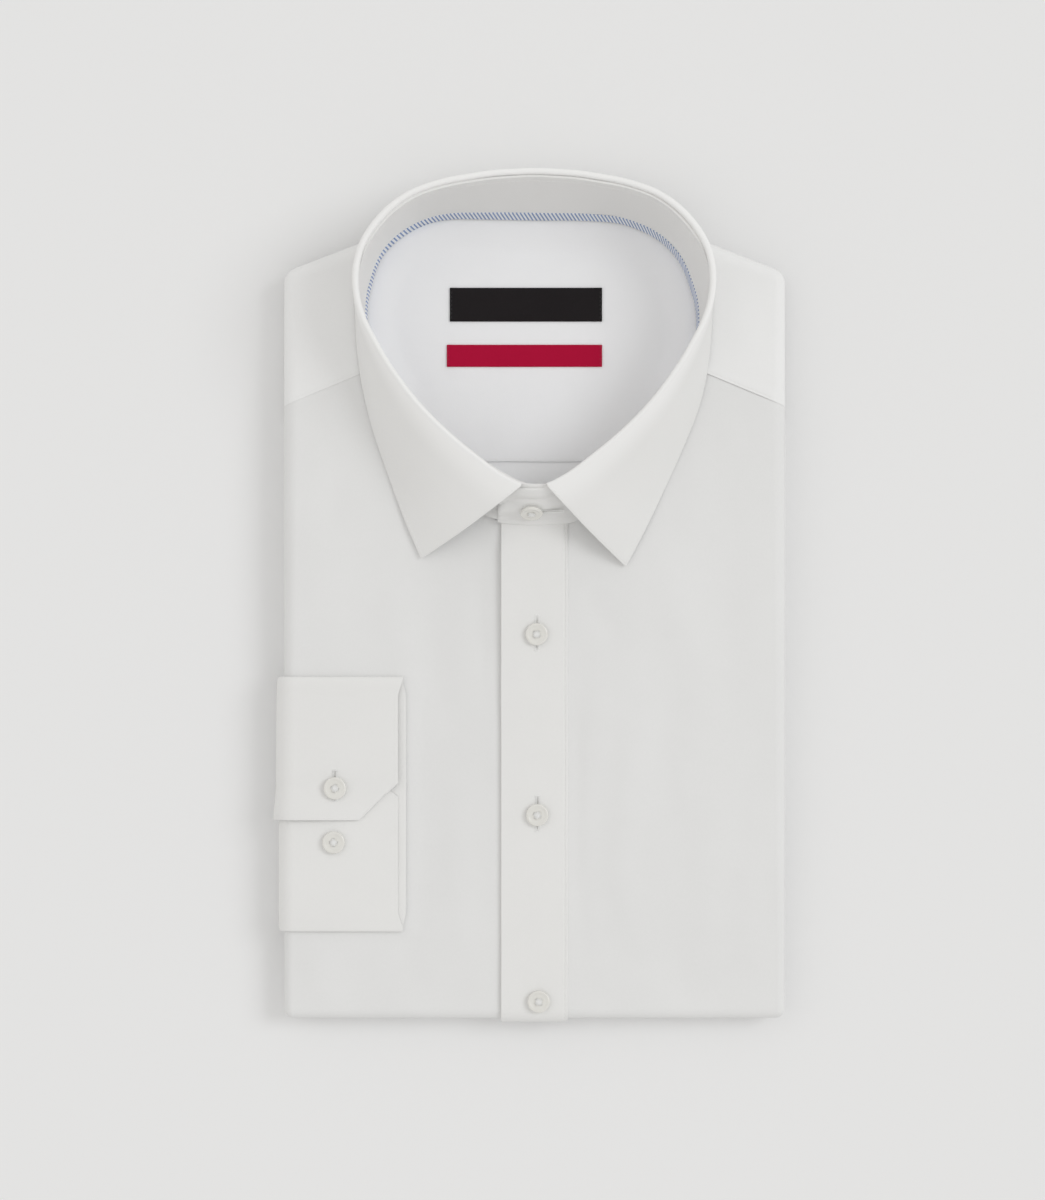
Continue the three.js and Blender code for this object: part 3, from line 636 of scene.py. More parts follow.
def tape_finish():
    finish, tree, place = new_finish("striped neck tape", 0.7, Sheen_Weight=0.1)
    cut = cut_of(tree)
    stripe = placed(tree, STRIPE, Cut=cut, Pitch=0.0020, Slant=0.48)
    weave = placed(tree, WEAVE, Cut=cut, Pitch=0.0003)
    tone = placed(tree, TONE, Place=place, Size=0.01)
    white = blend_colour(tree, tone["Shade"], (0.84, 0.85, 0.88, 1), (0.90, 0.91, 0.93, 1))
    blue = blend_colour(tree, tone["Shade"], (0.18, 0.265, 0.49, 1), (0.255, 0.36, 0.605, 1))
    colour = blend_colour(tree, stripe["Mask"], white, blue)
    return coloured(finish, colour, weave["Height"], 0.0001, 0.5)


def thread_finish(name, dark, light):
    """Twisted sewing thread."""
    finish, tree, place = new_finish(name, 0.6, Sheen_Weight=0.15)
    tone = placed(tree, TONE, Place=place, Size=0.002)
    twist = placed(tree, TONE, Place=place, Size=0.0002)
    colour = blend_colour(tree, tone["Shade"], dark, light)
    return coloured(finish, colour, twist["Shade"], 0.00005, 0.5)


def button_finish():
    """Pearly polyester: cloudy tone, glossy and a little translucent."""
    finish, tree, place = new_finish(
        "pearly button", 0.22, Coat_Weight=0.5, Coat_Roughness=0.08,
        Subsurface_Weight=0.15, Subsurface_Radius=(0.001, 0.001, 0.001),
    )
    cloudy = placed(tree, TONE, Place=place, Size=0.004)
    fine = placed(tree, TONE, Place=place, Size=0.0008)
    share = weighed(tree, fine["Shade"], 0.3, cloudy["Shade"])
    colour = blend_colour(tree, share, (0.76, 0.75, 0.71, 1), (0.85, 0.84, 0.80, 1))
    return coloured(finish, colour, fine["Shade"], 0.00003, 0.3)


TAPE = tape_finish()
THREAD = thread_finish("white sewing thread", (0.86, 0.86, 0.85, 1), (0.92, 0.92, 0.91, 1))
BLACK_THREAD = thread_finish("black sewing thread", (0.02, 0.02, 0.02, 1), (0.05, 0.05, 0.05, 1))
RED_THREAD = thread_finish("crimson sewing thread", (0.28, 0.01, 0.03, 1), (0.40, 0.02, 0.05, 1))
# The slit's grey is painted shade in the closed cut, made with the thread finish.
SLIT_SHADE = thread_finish("painted shade of a buttonhole slit", (0.50, 0.49, 0.47, 1), (0.60, 0.59, 0.57, 1))
BUTTON = button_finish()


# ---- sewing ----

TOP_STITCH = {"pitch": 2.3, "length": 1.7, "width": 0.24}


def sew(name, rows, finish=THREAD, slot="poplin", **sizes):
    """A piece of thread. Each row is a line and the way the cloth faces, along it or throughout."""
    thread = bmesh.new()
    for line, up in rows:
        stitch_row(thread, line, up, **sizes)
    keep(thread, name, finish, slot)


# ---- hidden layers ----


def body_outline(spacing):
    """The folded body's outline: points with the ways out of it, its corners rounded."""
    right = (RIGHT, HEM), (RIGHT, SHOULDER), (NECK_X, NECK_Y)
    left = (-NECK_X, NECK_Y), (LEFT, SHOULDER), (LEFT, HEM)
    corners = [Vector(corner) for corner in right + left]
    spots = []
    for index, corner in enumerate(corners):
        before, after = corners[index - 1], corners[(index + 1) % len(corners)]
        to_before = corner + (before - corner).normalized() * CORNER_CUT
        to_after = corner + (after - corner).normalized() * CORNER_CUT
        spots += [
            to_before.lerp(corner, part / 5).lerp(corner.lerp(to_after, part / 5), part / 5)
            for part in range(6)
        ]
        next_cut = after + (corner - after).normalized() * CORNER_CUT
        count = max(1, round((next_cut - to_after).length / spacing))
        spots += [to_after.lerp(next_cut, part / count) for part in range(1, count)]
    result = []
    for index, spot in enumerate(spots):
        along = spots[(index + 1) % len(spots)] - spots[index - 1]
        result.append((spot, Vector((along.y, -along.x)).normalized()))
    return result


def with_pocket(x, y):
    """The upper plies step back where the folded sleeve lies beside them."""
    beside = smooth((y - SLEEVE_BOTTOM + 6) / 5) * smooth((SLEEVE_TOP + 6 - y) / 5)
    return 12.5 * beside if x < LEFT + 8 else 0


def ply(name, low, high, tuck, seed, top_edge=None, pocket=False):
    """One hidden ply with a rounded, uneven fold all round."""
    cloth = bmesh.new()
    verts = []
    for spot, out in body_outline(6):
        wander = 0.5 * uneven(spot.x, spot.y, 22, seed) + 0.25 * uneven(spot.x, spot.y, 7, seed)
        x, y = spot - out * (tuck + wander + (with_pocket(*spot) if pocket else 0))
        if top_edge:
            y = min(y, top_edge(x))
        verts.append(cloth.verts.new(in_frame((x, y, low))))
    bmesh.ops.remove_doubles(cloth, verts=cloth.verts, dist=0.00005)
    sole = bmesh.ops.contextual_create(cloth, geom=cloth.verts)["faces"]
    raised = bmesh.ops.extrude_face_region(cloth, geom=sole)["geom"]
    top = [part for part in raised if isinstance(part, bmesh.types.BMVert)]
    bmesh.ops.translate(cloth, verts=top, vec=(0, 0, (high - low) * MM))
    bmesh.ops.recalc_face_normals(cloth, faces=cloth.faces)
    rim = [edge for edge in cloth.edges if abs(edge.verts[0].co.z - edge.verts[1].co.z) < 1e-6]
    bmesh.ops.bevel(
        cloth, geom=rim, offset=(high - low) * 0.45 * MM, offset_type="OFFSET", segments=3,
        profile=0.5, affect="EDGES", material=-1, clamp_overlap=True,
    )
    weave = cloth.loops.layers.uv.new("cut")
    for face in cloth.faces:
        for loop in face.loops:
            loop[weave].uv = (loop.vert.co.x + 0.2, loop.vert.co.y + loop.vert.co.z + 0.3)
    return keep(cloth, name, POPLIN)


def hidden_plies():
    def tail_edge(x):
        return 124 - 42 * (abs(x) / 115) ** 2.4

    tail = ply("turned_up_tail", 0, 1.5, 0.5, 1.3, top_edge=tail_edge)
    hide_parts("folded_layers")
    ply("ply_back", 1.55, 3.05, 0.9, 5.1)
    ply("ply_side", 3.1, 4.6, 0.4, 8.4, pocket=True)
    ply("ply_sleeve", 4.65, 6.25, 1.2, 12.9, pocket=True)
    ply("ply_middle", 6.3, 12.5, 9.5, 15.2)
    spots = [mix(-104, 104, index / 90) for index in range(91)]
    hem = [Vector((x, tail_edge(x) - 6, -0.02)) for x in spots]
    sew("tail_hem_stitches", [(hem, -UP)], pitch=2.5)


# ---- fronts ----


def neck_edge(station):
    point = seam_point(station)
    return point + ring_outward("seam", station) * STAND_PLY * smooth((24 - point.x) / 8)


def seam_line(x):
    return SEAM_Y - SEAM_SLOPE * abs(x)


def find_front_top(reach):
    """Upper edge of a front: the neck seam, then a margin under the yoke."""
    seam = seam_line(reach) + 3.2
    if reach > neck_edge(0.5).x:
        return seam
    station = halve(0.5, 1, lambda at: neck_edge(at).x <= reach, 24)
    return min(seam, neck_edge(station).y)


FRONT_TOP = [(x, find_front_top(x)) for x in range(0, 124)]


def front_crease(x, y):
    """Creases of the fronts, calm under the placket and the cuff."""
    calm = smooth((abs(x) - 15) / 9)
    under_cuff = smooth((-50 - x) / 12) * smooth((-30 - y) / 8) * smooth((y + 160) / 8)
    under_leaf = smooth((y - 22) / 14) * smooth((96 - abs(x)) / 14)
    return crease(x, y) * calm * (1 - 0.88 * under_cuff) * (1 - 0.75 * under_leaf)


def front_point(u, v, inner, side, lift):
    """A point of a front: u to 1 from its inner edge to the side fold, to 2 round the fold."""
    way = copysign(1, side)
    side_turn, hem_turn, flat = max(0, u - 1), max(0, v - 1), min(v, 1)
    side_y = mix(read(FRONT_TOP, 1, abs(side)), HEM, flat)
    x = mix(inner, side - way * wrap_radius(side, side_y), min(u, 1))
    y = mix(read(FRONT_TOP, 1, abs(x)), HEM + wrap_radius(x, HEM), flat**1.12)
    radius = wrap_radius(side, side_y) if side_turn > 0 else wrap_radius(x, HEM)
    turn = max(side_turn, hem_turn) * WRAP_TURN
    heading = atan2(hem_turn, side_turn)
    reach = radius * sin(turn)
    seam_slope = SEAM_SLOPE * reach * (1 - flat) ** 2
    dx = way * reach * cos(heading) if turn > 0 else 0
    dy = -reach * sin(heading) - seam_slope if turn > 0 else 0
    drop = radius * (1 - cos(turn)) * (1 + lift(x) / 20)
    under_yoke = 0.9 * smooth((y - seam_line(x) + 0.4) / 1.6)
    soft = front_crease(x, y) * (1 - smooth(turn / 1.2))
    return x + dx, y + dy, front_height(x, y) + lift(x) - drop - under_yoke + soft


def stretched(share, flat):
    """Spreads a grid's rows over the flat part, to 1, and the fold after it, to 2."""
    return share / flat if share <= flat else 1 + (share - flat) / (1 - flat)


def fronts():
    for name, solid, inner, side, lift in (
        ("left_front", "front_left", 12.6, RIGHT, lambda x: 0.5 * smooth((40 - x) / 22)),
        ("right_front", "front_right", 15.4, LEFT, lambda x: 0),
    ):
        def place(u, v, inner=inner, side=side, lift=lift):
            return front_point(stretched(u, 0.8), stretched(v, 0.86), inner, side, lift)

        grid, cut = (118 if side > 0 else 140, 190), (abs(side - inner) + 12, 250)
        cover(name, POPLIN, solid, grid, place, cut, wall=0.4, edge=0.12)


# ---- placket ----


def placket_point(x, v, lift=1.75):
    """A point of the placket, v to 1 along the front and to 2 round the hem fold."""
    radius = wrap_radius(0, HEM)
    turn = max(0, v - 1) * 0.7 * WRAP_TURN
    y = mix(PLACKET_TOP + 2.4 * (x / 15) ** 2, HEM + radius, min(v, 1))
    dimple = sum(bell(y, at, 8) for _, at in PLACKET_BUTTONS)
    pucker = -0.22 * dimple * bell(x, 1.5, 7)
    soft = 0.14 * uneven(x * 0.6, y, 16, 2.2) + 0.1 * uneven(x, y * 0.3, 9, 6.2) + pucker
    lift += 0.9 * smooth((y + 75) / 85) * smooth((31 - y) / 10) * smooth(-x / 15)
    reach = radius + lift + soft * (1 - smooth(turn))
    edge = 0.18 * uneven(0, y, 30, 9.1 if x < 0 else 4.4) * abs(x) / 15
    z = front_height(x, y) - radius + reach * cos(turn)
    return x + edge, y - reach * sin(turn), z


def placket():
    def place(u, v):
        x = mix(PLACKET_LEFT, PLACKET_RIGHT, u)
        groove = 0.16 * bell(x, PLACKET_SEAM, 0.35)
        flush = 0.5 * smooth((x - PLACKET_RIGHT + 2.2) / 2)
        return placket_point(x, stretched(v, PLACKET_FLAT), 1.75 - groove - flush)

    cover("placket_band", FUSED_PAINTED_LIGHTER, "placket", (60, 230), place, (31, 240), wall=1.15, edge=0.38)
    line = line_of(lambda s: placket_point(PLACKET_SEAM, stretched(s, PLACKET_FLAT), 1.55), 160)
    sew("placket_stitches", [(line, UP)], pitch=2.3, length=1.9, width=0.36)


# ---- yoke, its lining and the inside of the back ----


def neck_towards(spot):
    """The neck seam in the direction of a point, seen from the middle of the yoke."""
    def bearing(point):
        angle = atan2(point.y - SEAM_Y, point.x)
        return angle + 2 * pi if angle < -pi / 2 else angle

    wanted = bearing(spot)
    station = halve(-0.8, 0.8, lambda at: bearing(seam_point(at)) <= wanted, 22)
    return seam_point(station)


def yoke_line():
    """The outline from the left front's seam over the back to the right front's seam."""
    seam = seam_line(RIGHT)
    line = [(spot, out) for spot, out in body_outline(3.5) if spot.y > seam]
    line.insert(0, (Vector((RIGHT, seam)), Vector((1, 0))))
    line.append((Vector((LEFT, seam_line(LEFT))), Vector((-1, 0))))
    result = []
    for spot, out in line:
        tilt = smooth(1 - (spot.y - seam) / 14) * SEAM_SLOPE
        result.append((spot, Vector((out.x, out.y - tilt))))
    return result


def yoke_section(spot, out):
    """Points from the neck seam over the shoulder fold and round it."""
    neck = neck_towards(spot)
    radius = wrap_radius(spot.x, spot.y)

    def wrapped(turn):
        start = spot - out * radius
        height = front_height(start.x, start.y)
        x, y = start + out * (radius * sin(turn))
        return Vector((x, y, height - radius * (1 - cos(turn))))

    start, unit = wrapped(0), out.normalized()
    flat = unit.x * (start.x - neck.x) + unit.y * (start.y - neck.y)
    first = asin(clamp(-flat / radius, 0, 0.95))
    edge = wrapped(first)
    flat_share = 0.45 if flat > 0 else 0
    points = []
    for step in range(YOKE_STEPS + 1):
        share = step / YOKE_STEPS
        round_it = clamp((share - flat_share) / (1 - flat_share), 0, 1)
        point = wrapped(mix(first, WRAP_TURN, round_it))
        pull = clamp(1 - share / (flat_share or 1), 0, 1)
        point.x += (neck.x - edge.x) * pull
        point.y += (neck.y - edge.y) * pull
        if share < flat_share:
            point.z = front_height(point.x, point.y)
            point.z += front_crease(point.x, point.y) * smooth((flat_share - share) / 0.1)
        near_seam = seam_line(point.x) + 5 - point.y
        point.z += (0.6 if point.x > 0 else 0.2) * smooth(near_seam / 5) * (1 - round_it)
        points.append(point)
    return points


def yoke():
    sections = [yoke_section(spot, out) for spot, out in yoke_line()]
    last = len(sections) - 1

    def place(u, v):
        return sections[round(u * last)][round(v * YOKE_STEPS)]

    grid, aim = (last, YOKE_STEPS), (0.08, 0.2, UP)
    cover("outer_yoke", YOKE_PAINTED_LIGHTER, "yoke", grid, place, (330, 45), aim, wall=0.55, edge=0.2)

    def edge_stitch(way, reach):
        x, y = way * reach, seam_line(reach) + 1.5
        return x, y, front_height(x, y) + (0.61 if way > 0 else 0.22) + front_crease(x, y)

    rows = [
        (line_of(lambda share, way=way: edge_stitch(way, mix(77, 109, share)), 40), UP)
        for way in (-1, 1)
    ]
    sew("yoke_seam_stitches", rows, pitch=2.2, length=1.6, width=0.22)


def ring_by_angle():
    """How far the neck seam is from the middle of the neck, by angle from the back."""
    rows = []
    for step in range(-70, 71):
        x, y, _ = seam_point(step / 100)
        rows.append((atan2(x, y - NECK_MIDDLE), hypot(x, y - NECK_MIDDLE)))
    return rows


NECK_RING = ring_by_angle()


def inside_neck(x, y):
    """Distance from the neck seam towards the middle of the neck."""
    return read(NECK_RING, 1, atan2(x, y - NECK_MIDDLE)) - hypot(x, y - NECK_MIDDLE)


def inner_height(x, y):
    """The lining lies low in the neck and rises to its seam at the back and the shoulders."""
    rise = smooth(1 - max(inside_neck(x, y), 0) / 17) * smooth((y - 76) / 34)
    under_seam = front_height(x, y) - shoulder_drop(x, y) - 1.7
    soft = 0.25 * uneven(x, y, 30, 21.5) + 0.1 * uneven(x, y, 11, 3.5)
    return mix(LINING_HEIGHT, under_seam, rise) + soft * (1 - rise)


def lining_top(x):
    back, way = shoulder_line(x) - 9, 1 if x > 0 else -1
    if abs(x) > 72:
        return back
    station = halve(0, 0.5, lambda at: abs(seam_point(way * at).x) >= abs(x), 20)
    return max(back, seam_point(way * station).y - 0.4)


def inner_back():
    def facing(u, v):
        x = mix(-FACING_SIDE, FACING_SIDE, u)
        y = mix(FACING_SEAM + 0.3 * uneven(x, 0, 25, 1.1), lining_top(x), v)
        return x, y, inner_height(x, y)

    cover("yoke_lining", LINING_PAINTED_LIGHTER, "yoke_facing", (120, 80), facing, (196, 110), wall=0.6, edge=0.2)

    def panel(u, v):
        x, y = mix(-FACING_SIDE, FACING_SIDE, u), mix(28, FACING_SEAM + 4, v)
        return x, y, BACK_HEIGHT + 0.15 * uneven(x, y, 25, 2.9)

    cover("back_inside", INNER_BACK_PAINTED_LIGHTER, "back_panel", (90, 20), panel, (196, 40), wall=0.4, edge=0.12)
    low = FACING_SEAM + 1.4
    line = [Vector((x, low, inner_height(x, low))) for x in range(-60, 61, 2)]
    sew("yoke_lining_stitches", [(line, UP)], pitch=2.3, length=1.7, width=0.22)


def label(name, x0, y0, width, depth, finish, thread_colour):
    def place(u, v):
        x, y = x0 + width * (u - 0.5), y0 + depth * (v - 0.5)
        curl = 0.28 * abs(2 * u - 1) ** 14 * (0.5 + 0.5 * uneven(x, y, 4, 2.6))
        return x, y, 0.67 + inner_height(x, y) + curl + 0.07 * uneven(x, y, 9, 5.5)

    cut = width, depth
    cover(f"woven_{name}", finish, name, (70, 20), place, cut, slot=name, wall=0.5, edge=0.2)
    rows = [
        (line_of(lambda share, u=u: place(u, mix(0.06, 0.94, share)), 20), UP)
        for u in (0.012, 0.988)
    ]
    sew(f"{name}_stitches", rows, thread_colour, name, pitch=1.9, length=1.4, width=0.24)


# ---- collar ----


def outer_way(surface, station, at, last=2, lean=0):
    """The way the outer side of the stand or the leaf faces."""
    along = surface(station + 0.004, at) - surface(station - 0.004, at)
    across = surface(station, min(at + 0.02, last)) - surface(station, at - 0.02)
    way = along.cross(across).normalized()
    return way if way.dot(ring_outward("fold", station) + UP * lean) > 0 else -way


def stand_facing(station, rise):
    return outer_way(stand_point, station, rise)


def stand_surface(station, rise, outwards=0):
    """The stand's middle, or outwards of it, with the soft folds round its button."""
    front = smooth((abs(station) - 0.84) / 0.09)
    fold = 0.55 * bell(rise, 0.45, 0.13) - 0.6 * bell(rise, 0.7, 0.06)
    fold -= 0.9 * bell(rise, 0.17, 0.12) + bell(station, 1.045, 0.014) * bell(rise, 0.55, 0.16)
    soft = 0.2 * uneven(station * 12, rise * 2, 1, 8.8) + fold * front
    return stand_point(station, rise) + stand_facing(station, rise) * (outwards + soft)


def stand():
    reach = 1 + STAND_OVERLAP

    def place(u, v):
        station = mix(-reach, reach, u)
        return stand_surface(station, mix(-0.045, 1, v))

    cover(
        "collar_band", COLLAR_BAND_PAINTED_LIGHTER, "collar_stand", (260, 26), place, (555, 34), (0.5, 0.5, (0, 1, 0)),
        wall=1.3, offset=0, edge=0.4,
    )
    rows = []
    end = reach - 0.006
    for low, high, rise, way, count in (
        (0.55, end, 0.07, 1, 120), (-end, -0.55, 0.07, 1, 120), (-0.96, 0.96, 0.9, -1, 300),
    ):
        stations = [mix(low, high, index / count) for index in range(count + 1)]
        line = [stand_surface(station, rise, 0.66 * way) for station in stations]
        rows.append((line, [stand_facing(station, rise) * way for station in stations]))
    sew("stand_stitches", rows, **TOP_STITCH)


def neck_tape():
    def place(u, v):
        station, rise = mix(-0.62, 0.62, u), mix(-0.055, 0.12, v)
        return stand_point(station, rise) - stand_facing(station, rise) * 1.05

    cover(
        "striped_tape", TAPE, "neck_tape", (200, 4), place, (330, 5), (0.5, 0.5, (0, -1, 1)),
        slot="neck_tape", wall=0.45, edge=0.1,
    )


def leaf():
    def place(u, v):
        down = v / ROLL_SHARE - 1 if v < ROLL_SHARE else (v - ROLL_SHARE) / (1 - ROLL_SHARE)
        return leaf_point(mix(-LEAF_END, LEAF_END, u), down)

    cut, aim = (520, 62), (0.9, 0.6, UP)
    cover("collar_fall", FALL_PAINTED_LIGHTER, "collar_leaf", (300, 74), place, cut, aim, wall=0.9, edge=0.32)
    rows = []
    end = LEAF_END - 0.005
    lines = [
        [(side * end, mix(0.04, 0.975, share / 60)) for share in range(61)] for side in (-1, 1)
    ]
    lines.append([(mix(-end, end, share / 300), 0.972) for share in range(301)])
    for spots in lines:
        ups = [outer_way(leaf_point, *spot, last=1, lean=0.3) for spot in spots]
        rows.append(([leaf_point(*spot) + up * 0.05 for spot, up in zip(spots, ups)], ups))
    sew("leaf_pick_stitches", rows, pitch=2.6, length=1.1, width=0.36)


# ---- cuff and sleeve ----


def on_right_side(x, y, turn, lift):
    """A point over the right front, moved out by lift; past the side fold turn goes round it."""
    radius = wrap_radius(LEFT, y)
    start = LEFT + radius
    spot = max(x, start)
    height, reach = front_height(spot, y), radius + lift
    if turn <= 0:
        return spot, y, height + lift
    return start - reach * sin(turn), y, height - radius + reach * cos(turn)


def cuff_point(along, section):
    """A point of the cuff: along to 1 from its hem to the side fold, to 2 round the fold."""
    y, lift = through(CUFF_SECTION, section)
    last = len(CUFF_SECTION) - 1
    row = section * last
    back = smooth((row - 6.2) / 2) * smooth((15 - row) / 2)
    near_fold = max(smooth((y + 46) / 9), smooth((-144 - y) / 9))
    hem = mix(mix(CUFF_HEM, CUFF_BACK_HEM, back), -60.4, near_fold)
    x = mix(hem, LEFT + wrap_radius(LEFT, y), min(along, 1))
    cut = (read(CUFF_EDGE, 1, x) + 102.3) * clamp(1 - row / 2.2, 0, 1)
    cut += (read(CUFF_UNDER_EDGE, 1, x) + 74) * clamp((row - last + 1.2) / 1.2, 0, 1)
    lift += 1.4 * smooth(1 - row / 1.6) * smooth((-70 - x) / 40)
    bow = 0.3 * uneven(x, y, 22, 11.5 + round(row / 8)) * (1 - back)
    button_x, button_y, _ = CUFF_BUTTONS[0]
    pull = -0.25 * bell(x, button_x, 6) * bell(y, button_y, 6) if row < 4 else 0
    turn = max(0, along - 1) * 0.56 * pi
    return on_right_side(x, y + cut, turn, lift + bow * 0.6 + pull)


def cuff():
    def place(u, v):
        return cuff_point(stretched(u, 0.8), v)

    aim, made = (0.3, 0.08, UP), {"wall": 0.95, "offset": 0, "edge": 0.32}
    cover("right_cuff", FUSED_PAINTED_LIGHTER, "cuff", (64, 190), place, (70, 290), aim, **made)
    last = len(CUFF_SECTION) - 1
    hem = line_of(lambda s: Vector(cuff_point(0.028, mix(0.12, 4.6, s) / last)) + UP / 2, 60)
    edge = line_of(lambda s: Vector(cuff_point(mix(0.03, 1.15, s), 0.14 / last)) + UP / 2, 60)
    sew("cuff_stitches", [(hem, UP), (edge, UP)], **TOP_STITCH)


def sleeve():
    def place(u, v):
        y = mix(SLEEVE_TOP, SLEEVE_BOTTOM, u)
        y += 0.7 * uneven(0, v * 60, 22, 3.3) * abs(2 * u - 1) ** 6
        outer = v < 0.5
        part = clamp((v if outer else 1 - v) / 0.46, 0, 1)
        soft = 0.25 * uneven(y, part * 20, 14, 5.9) + 0.12 * uneven(y, part * 9, 5, 1.9)
        lift = mix(1.0, 2.35, smooth((0.54 - v) / 0.08)) + soft * (1 if outer else 0.4)
        turn = mix(pi, 0.585 * pi, clamp((part - 0.28) / 0.72, 0, 1))
        x, y, z = on_right_side(LEFT, y, turn, lift)
        return x + 4.5 * (1 - clamp(part / 0.28, 0, 1)), y, z

    aim, made = (0.5, 0.3, (-1, 0, 0)), {"wall": 0.4, "offset": 0, "edge": 0.12}
    cover("sleeve_fold", POPLIN, "sleeve", (90, 60), place, (109, 40), aim, **made)


# ---- buttons and buttonholes ----


def turned_to(axis, spot):
    """A local frame in mm with its z along the axis, put at a spot."""
    turn = UP.rotation_difference(axis).to_matrix().to_4x4()
    return Matrix.Translation(in_frame(spot)) @ turn @ Matrix.Scale(MM, 4)


def four_hole_button(name, spot, axis, spin):
    """A button with a raised rim, a dished middle and four holes."""
    disc = bmesh.new()
    bmesh.ops.create_grid(disc, x_segments=2, y_segments=2, size=1)
    for vert in disc.verts:
        if vert.co.length > 0.1:
            vert.co = vert.co.normalized() * 2.6
        vert.co.z = 1.8
    wells = disc.faces[:]
    bmesh.ops.inset_individual(disc, faces=wells, thickness=0.5)
    bmesh.ops.inset_individual(disc, faces=wells, thickness=0.12)
    for face in bmesh.ops.extrude_discrete_faces(disc, faces=wells)["faces"]:
        bmesh.ops.translate(disc, verts=face.verts, vec=(0, 0, -0.3))
    rim = [edge for edge in disc.edges if edge.is_boundary]
    profile = [
        (3.1, 1.8), (3.8, 1.85), (4.3, 2.0), (4.8, 2.15), (5.3, 2.1), (5.7, 1.8),
        (5.8, 1.3), (5.55, 0.6), (4.8, 0.1), (3.8, 0.0), (1.6, 0.0),
    ]
    for radius, height in profile:
        made = bmesh.ops.extrude_edge_only(disc, edges=rim)["geom"]
        rim = [part for part in made if isinstance(part, bmesh.types.BMEdge)]
        for vert in {vert for edge in rim for vert in edge.verts}:
            flat = Vector((vert.co.x, vert.co.y)).normalized() * radius
            vert.co = (flat.x, flat.y, height)
    bmesh.ops.contextual_create(disc, geom=rim)
    bmesh.ops.recalc_face_normals(disc, faces=disc.faces)
    place = turned_to(axis, spot) @ Matrix.Rotation(spin, 4, "Z")
    turn = place.to_3x3().normalized()
    bmesh.ops.transform(disc, matrix=place, verts=disc.verts)
    keep(disc, f"pearl_{name}", BUTTON, "button", levels=2, stands_for=(name,))
    thread = bmesh.new()
    for way in (1, -1):
        for aside in (-0.66, -0.22, 0.22, 0.66):
            along = Vector((1, way, 0)).normalized()
            side = Vector((-along.y, along.x, 0)) * aside
            height = 2.05 + 0.22 * (way > 0) - 0.1 * abs(aside)
            middle = place @ Vector((side.x, side.y, height)) / MM + MIDDLE
            stitch(thread, middle, turn @ along, axis, 4.2, 0.55)
    keep(thread, f"{name}_thread", THREAD, "button")


def buttonhole(thread, slit, spot, along, up, half):
    """Whipped edges on both sides of a slit, closed by a bar at each end, and a grey sliver of
    painted shade in the slit.
    """
    along, up = Vector(along).normalized(), Vector(up).normalized()
    side = up.cross(along)
    count = round(2 * half / 0.42)
    for index in range(count + 1):
        here = spot + along * mix(-half, half, index / count)
        for way in (-1, 1):
            stitch(thread, here + side * (way * 0.72) + up * 0.05, side, up, 1.15, 0.36)
    for way in (-1, 1):
        stitch(thread, spot + along * (way * (half + 0.35)) + up * 0.08, side, up, 2.4, 0.6)
    # A flat grey egg along the slit: painted shade in the cut.
    egg(slit, spot + up * 0.02, (side * 0.26, along * half, up * 0.08), 8, 6)


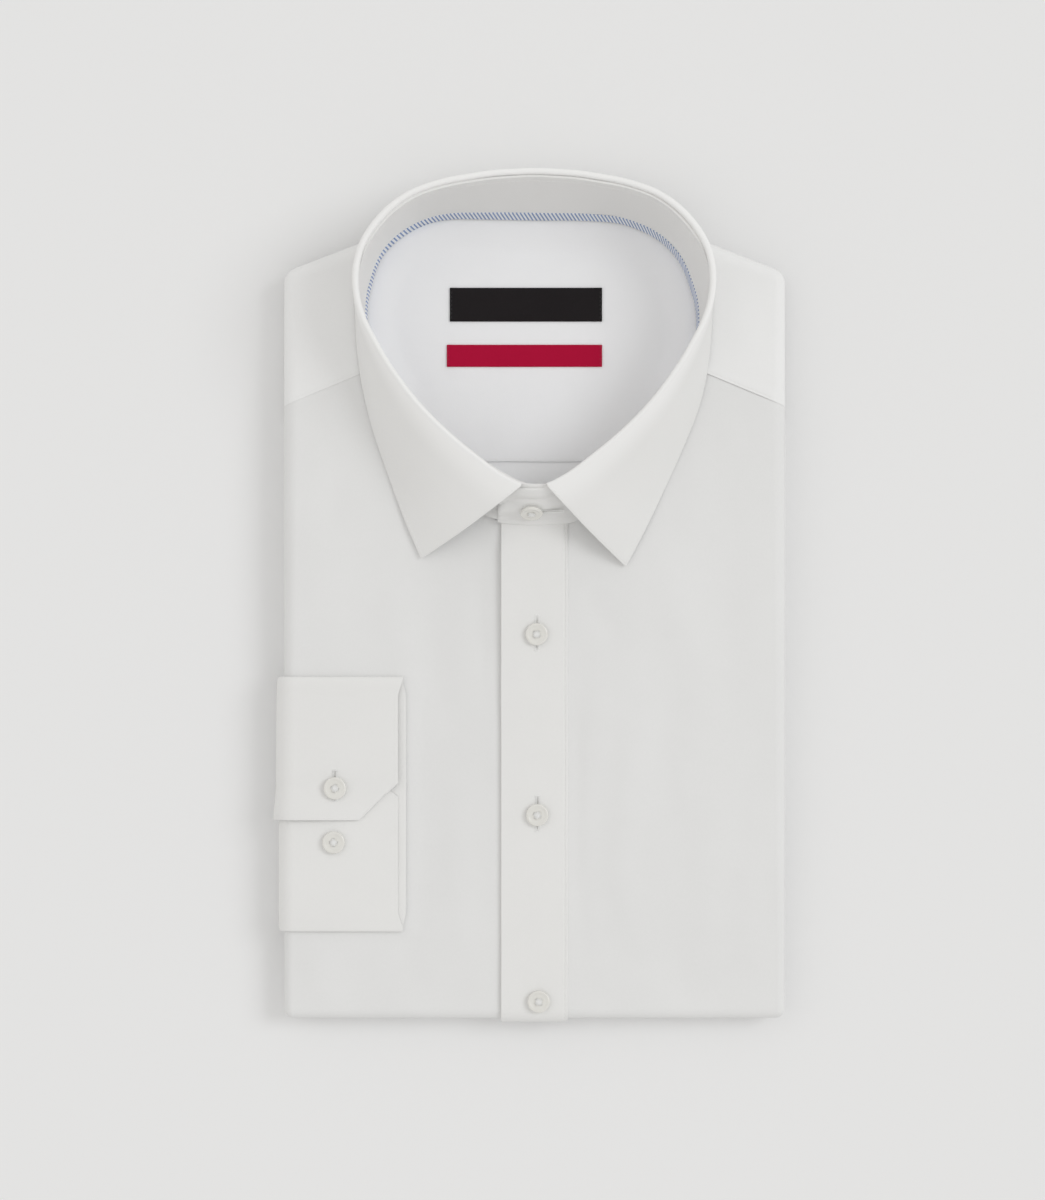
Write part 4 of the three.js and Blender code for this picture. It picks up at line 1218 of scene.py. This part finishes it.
def buttons():
    thread, slit = bmesh.new(), bmesh.new()
    for index, (x, y) in enumerate(PLACKET_BUTTONS):
        low = Vector((x, y - 7.3, front_height(x, y - 7.3) + 1.72))
        high = Vector((x + 0.2, y + 8.5, front_height(x, y + 8.5) + 1.72))
        middle = low.lerp(high, 0.5)
        tilt = UP - (high - low) * ((high.z - low.z) / (high - low).length_squared)
        base = Vector((x, y, middle.z + 0.1))
        four_hole_button(f"front_button_{index + 1}", base, tilt, (0.12, 0.3, -0.1)[index])
        if y > -150:
            buttonhole(thread, slit, middle, high - low, tilt, (high - low).length / 2)
    for index, (x, y, lift) in enumerate(CUFF_BUTTONS):
        base = Vector((x, y, front_height(x, y) + lift + 0.15))
        four_hole_button(f"cuff_button_{index + 1}", base, UP, (0.5, 0.75)[index])
        if index == 0:
            buttonhole(thread, slit, Vector((x, y + 1.2, base.z + 0.06)), (0, 1, 0), UP, 6.8)
    low, high = stand_point(1, 0.3), stand_point(1, 0.5)
    axis = Vector((1, 0, 0)).cross((high - low).normalized())
    axis = axis if axis.y < 0 else -axis
    spot = low.lerp(high, 0.5) + axis * (0.7 + 0.2 + 0.3)
    spot.x = -1.2
    axis = Matrix.Rotation(0.24, 3, "X") @ axis
    four_hole_button("collar_button", spot, axis, 0.2)
    hole = low.lerp(high, 0.5) + axis * 1.25
    hole.x = 5.2
    buttonhole(thread, slit, hole, (1, 0.02, 0), axis, 8.0)
    keep(thread, "buttonhole_stitches", THREAD)
    keep(slit, "buttonhole_slit_shade", SLIT_SHADE)


hidden_plies()
fronts()
placket()
yoke()
inner_back()
label("label_dark", -3.7, 135.2, 70.2, 15.6, BLACK_SATIN, BLACK_THREAD)
label("label_red", -4.4, 111.6, 71.6, 10.2, RED_SATIN, RED_THREAD)
stand()
neck_tape()
leaf()
cuff()
sleeve()
buttons()


# ---- stage, light and camera ----


def stage():
    floor = bmesh.new()
    bmesh.ops.create_grid(floor, x_segments=1, y_segments=1, size=4)
    bmesh.ops.translate(floor, verts=floor.verts, vec=(0, 0, -0.0002))
    finish, tree, place = new_finish("pale studio floor", 0.9, Specular_IOR_Level=0.1)
    cloudy = placed(tree, TONE, Place=place, Size=0.5)
    colour = blend_colour(tree, cloudy["Shade"], (0.878, 0.878, 0.878, 1), (0.884, 0.884, 0.884, 1))
    shown("floor", mesh_of(floor, "floor", coloured(finish, colour)))

    world = bpy.data.worlds.new("studio")
    world.use_nodes = True
    sky = world.node_tree.nodes["Background"].inputs
    sky["Color"].default_value = (1.0, 0.992, 0.978, 1)
    sky["Strength"].default_value = 0.684
    bpy.context.scene.world = world

    for name, energy, angle, colour, towards in (
        ("key", 0.66, 28, (0.965, 0.985, 1.0), (0.70, 0.22, 0.69)),
        ("fill", 0.22, 60, (1.0, 0.985, 0.955), (-0.68, 0.12, 0.72)),
    ):
        light = bpy.data.lights.new(name, "SUN")
        light.energy, light.angle, light.color = energy, radians(angle), colour
        turn = Vector(towards).to_track_quat("Z", "Y")
        shown(name, light).rotation_euler = turn.to_euler()

    view = bpy.data.cameras.new("camera")
    view.sensor_width = 36
    view.lens = 36 * 1800 / 552
    view.clip_start, view.clip_end = 0.05, 20
    camera = shown("camera", view)
    camera.location = (-0.00369, -0.00039, 1.82)
    bpy.context.scene.camera = camera
    bpy.context.scene.view_settings.view_transform = "Standard"


stage()
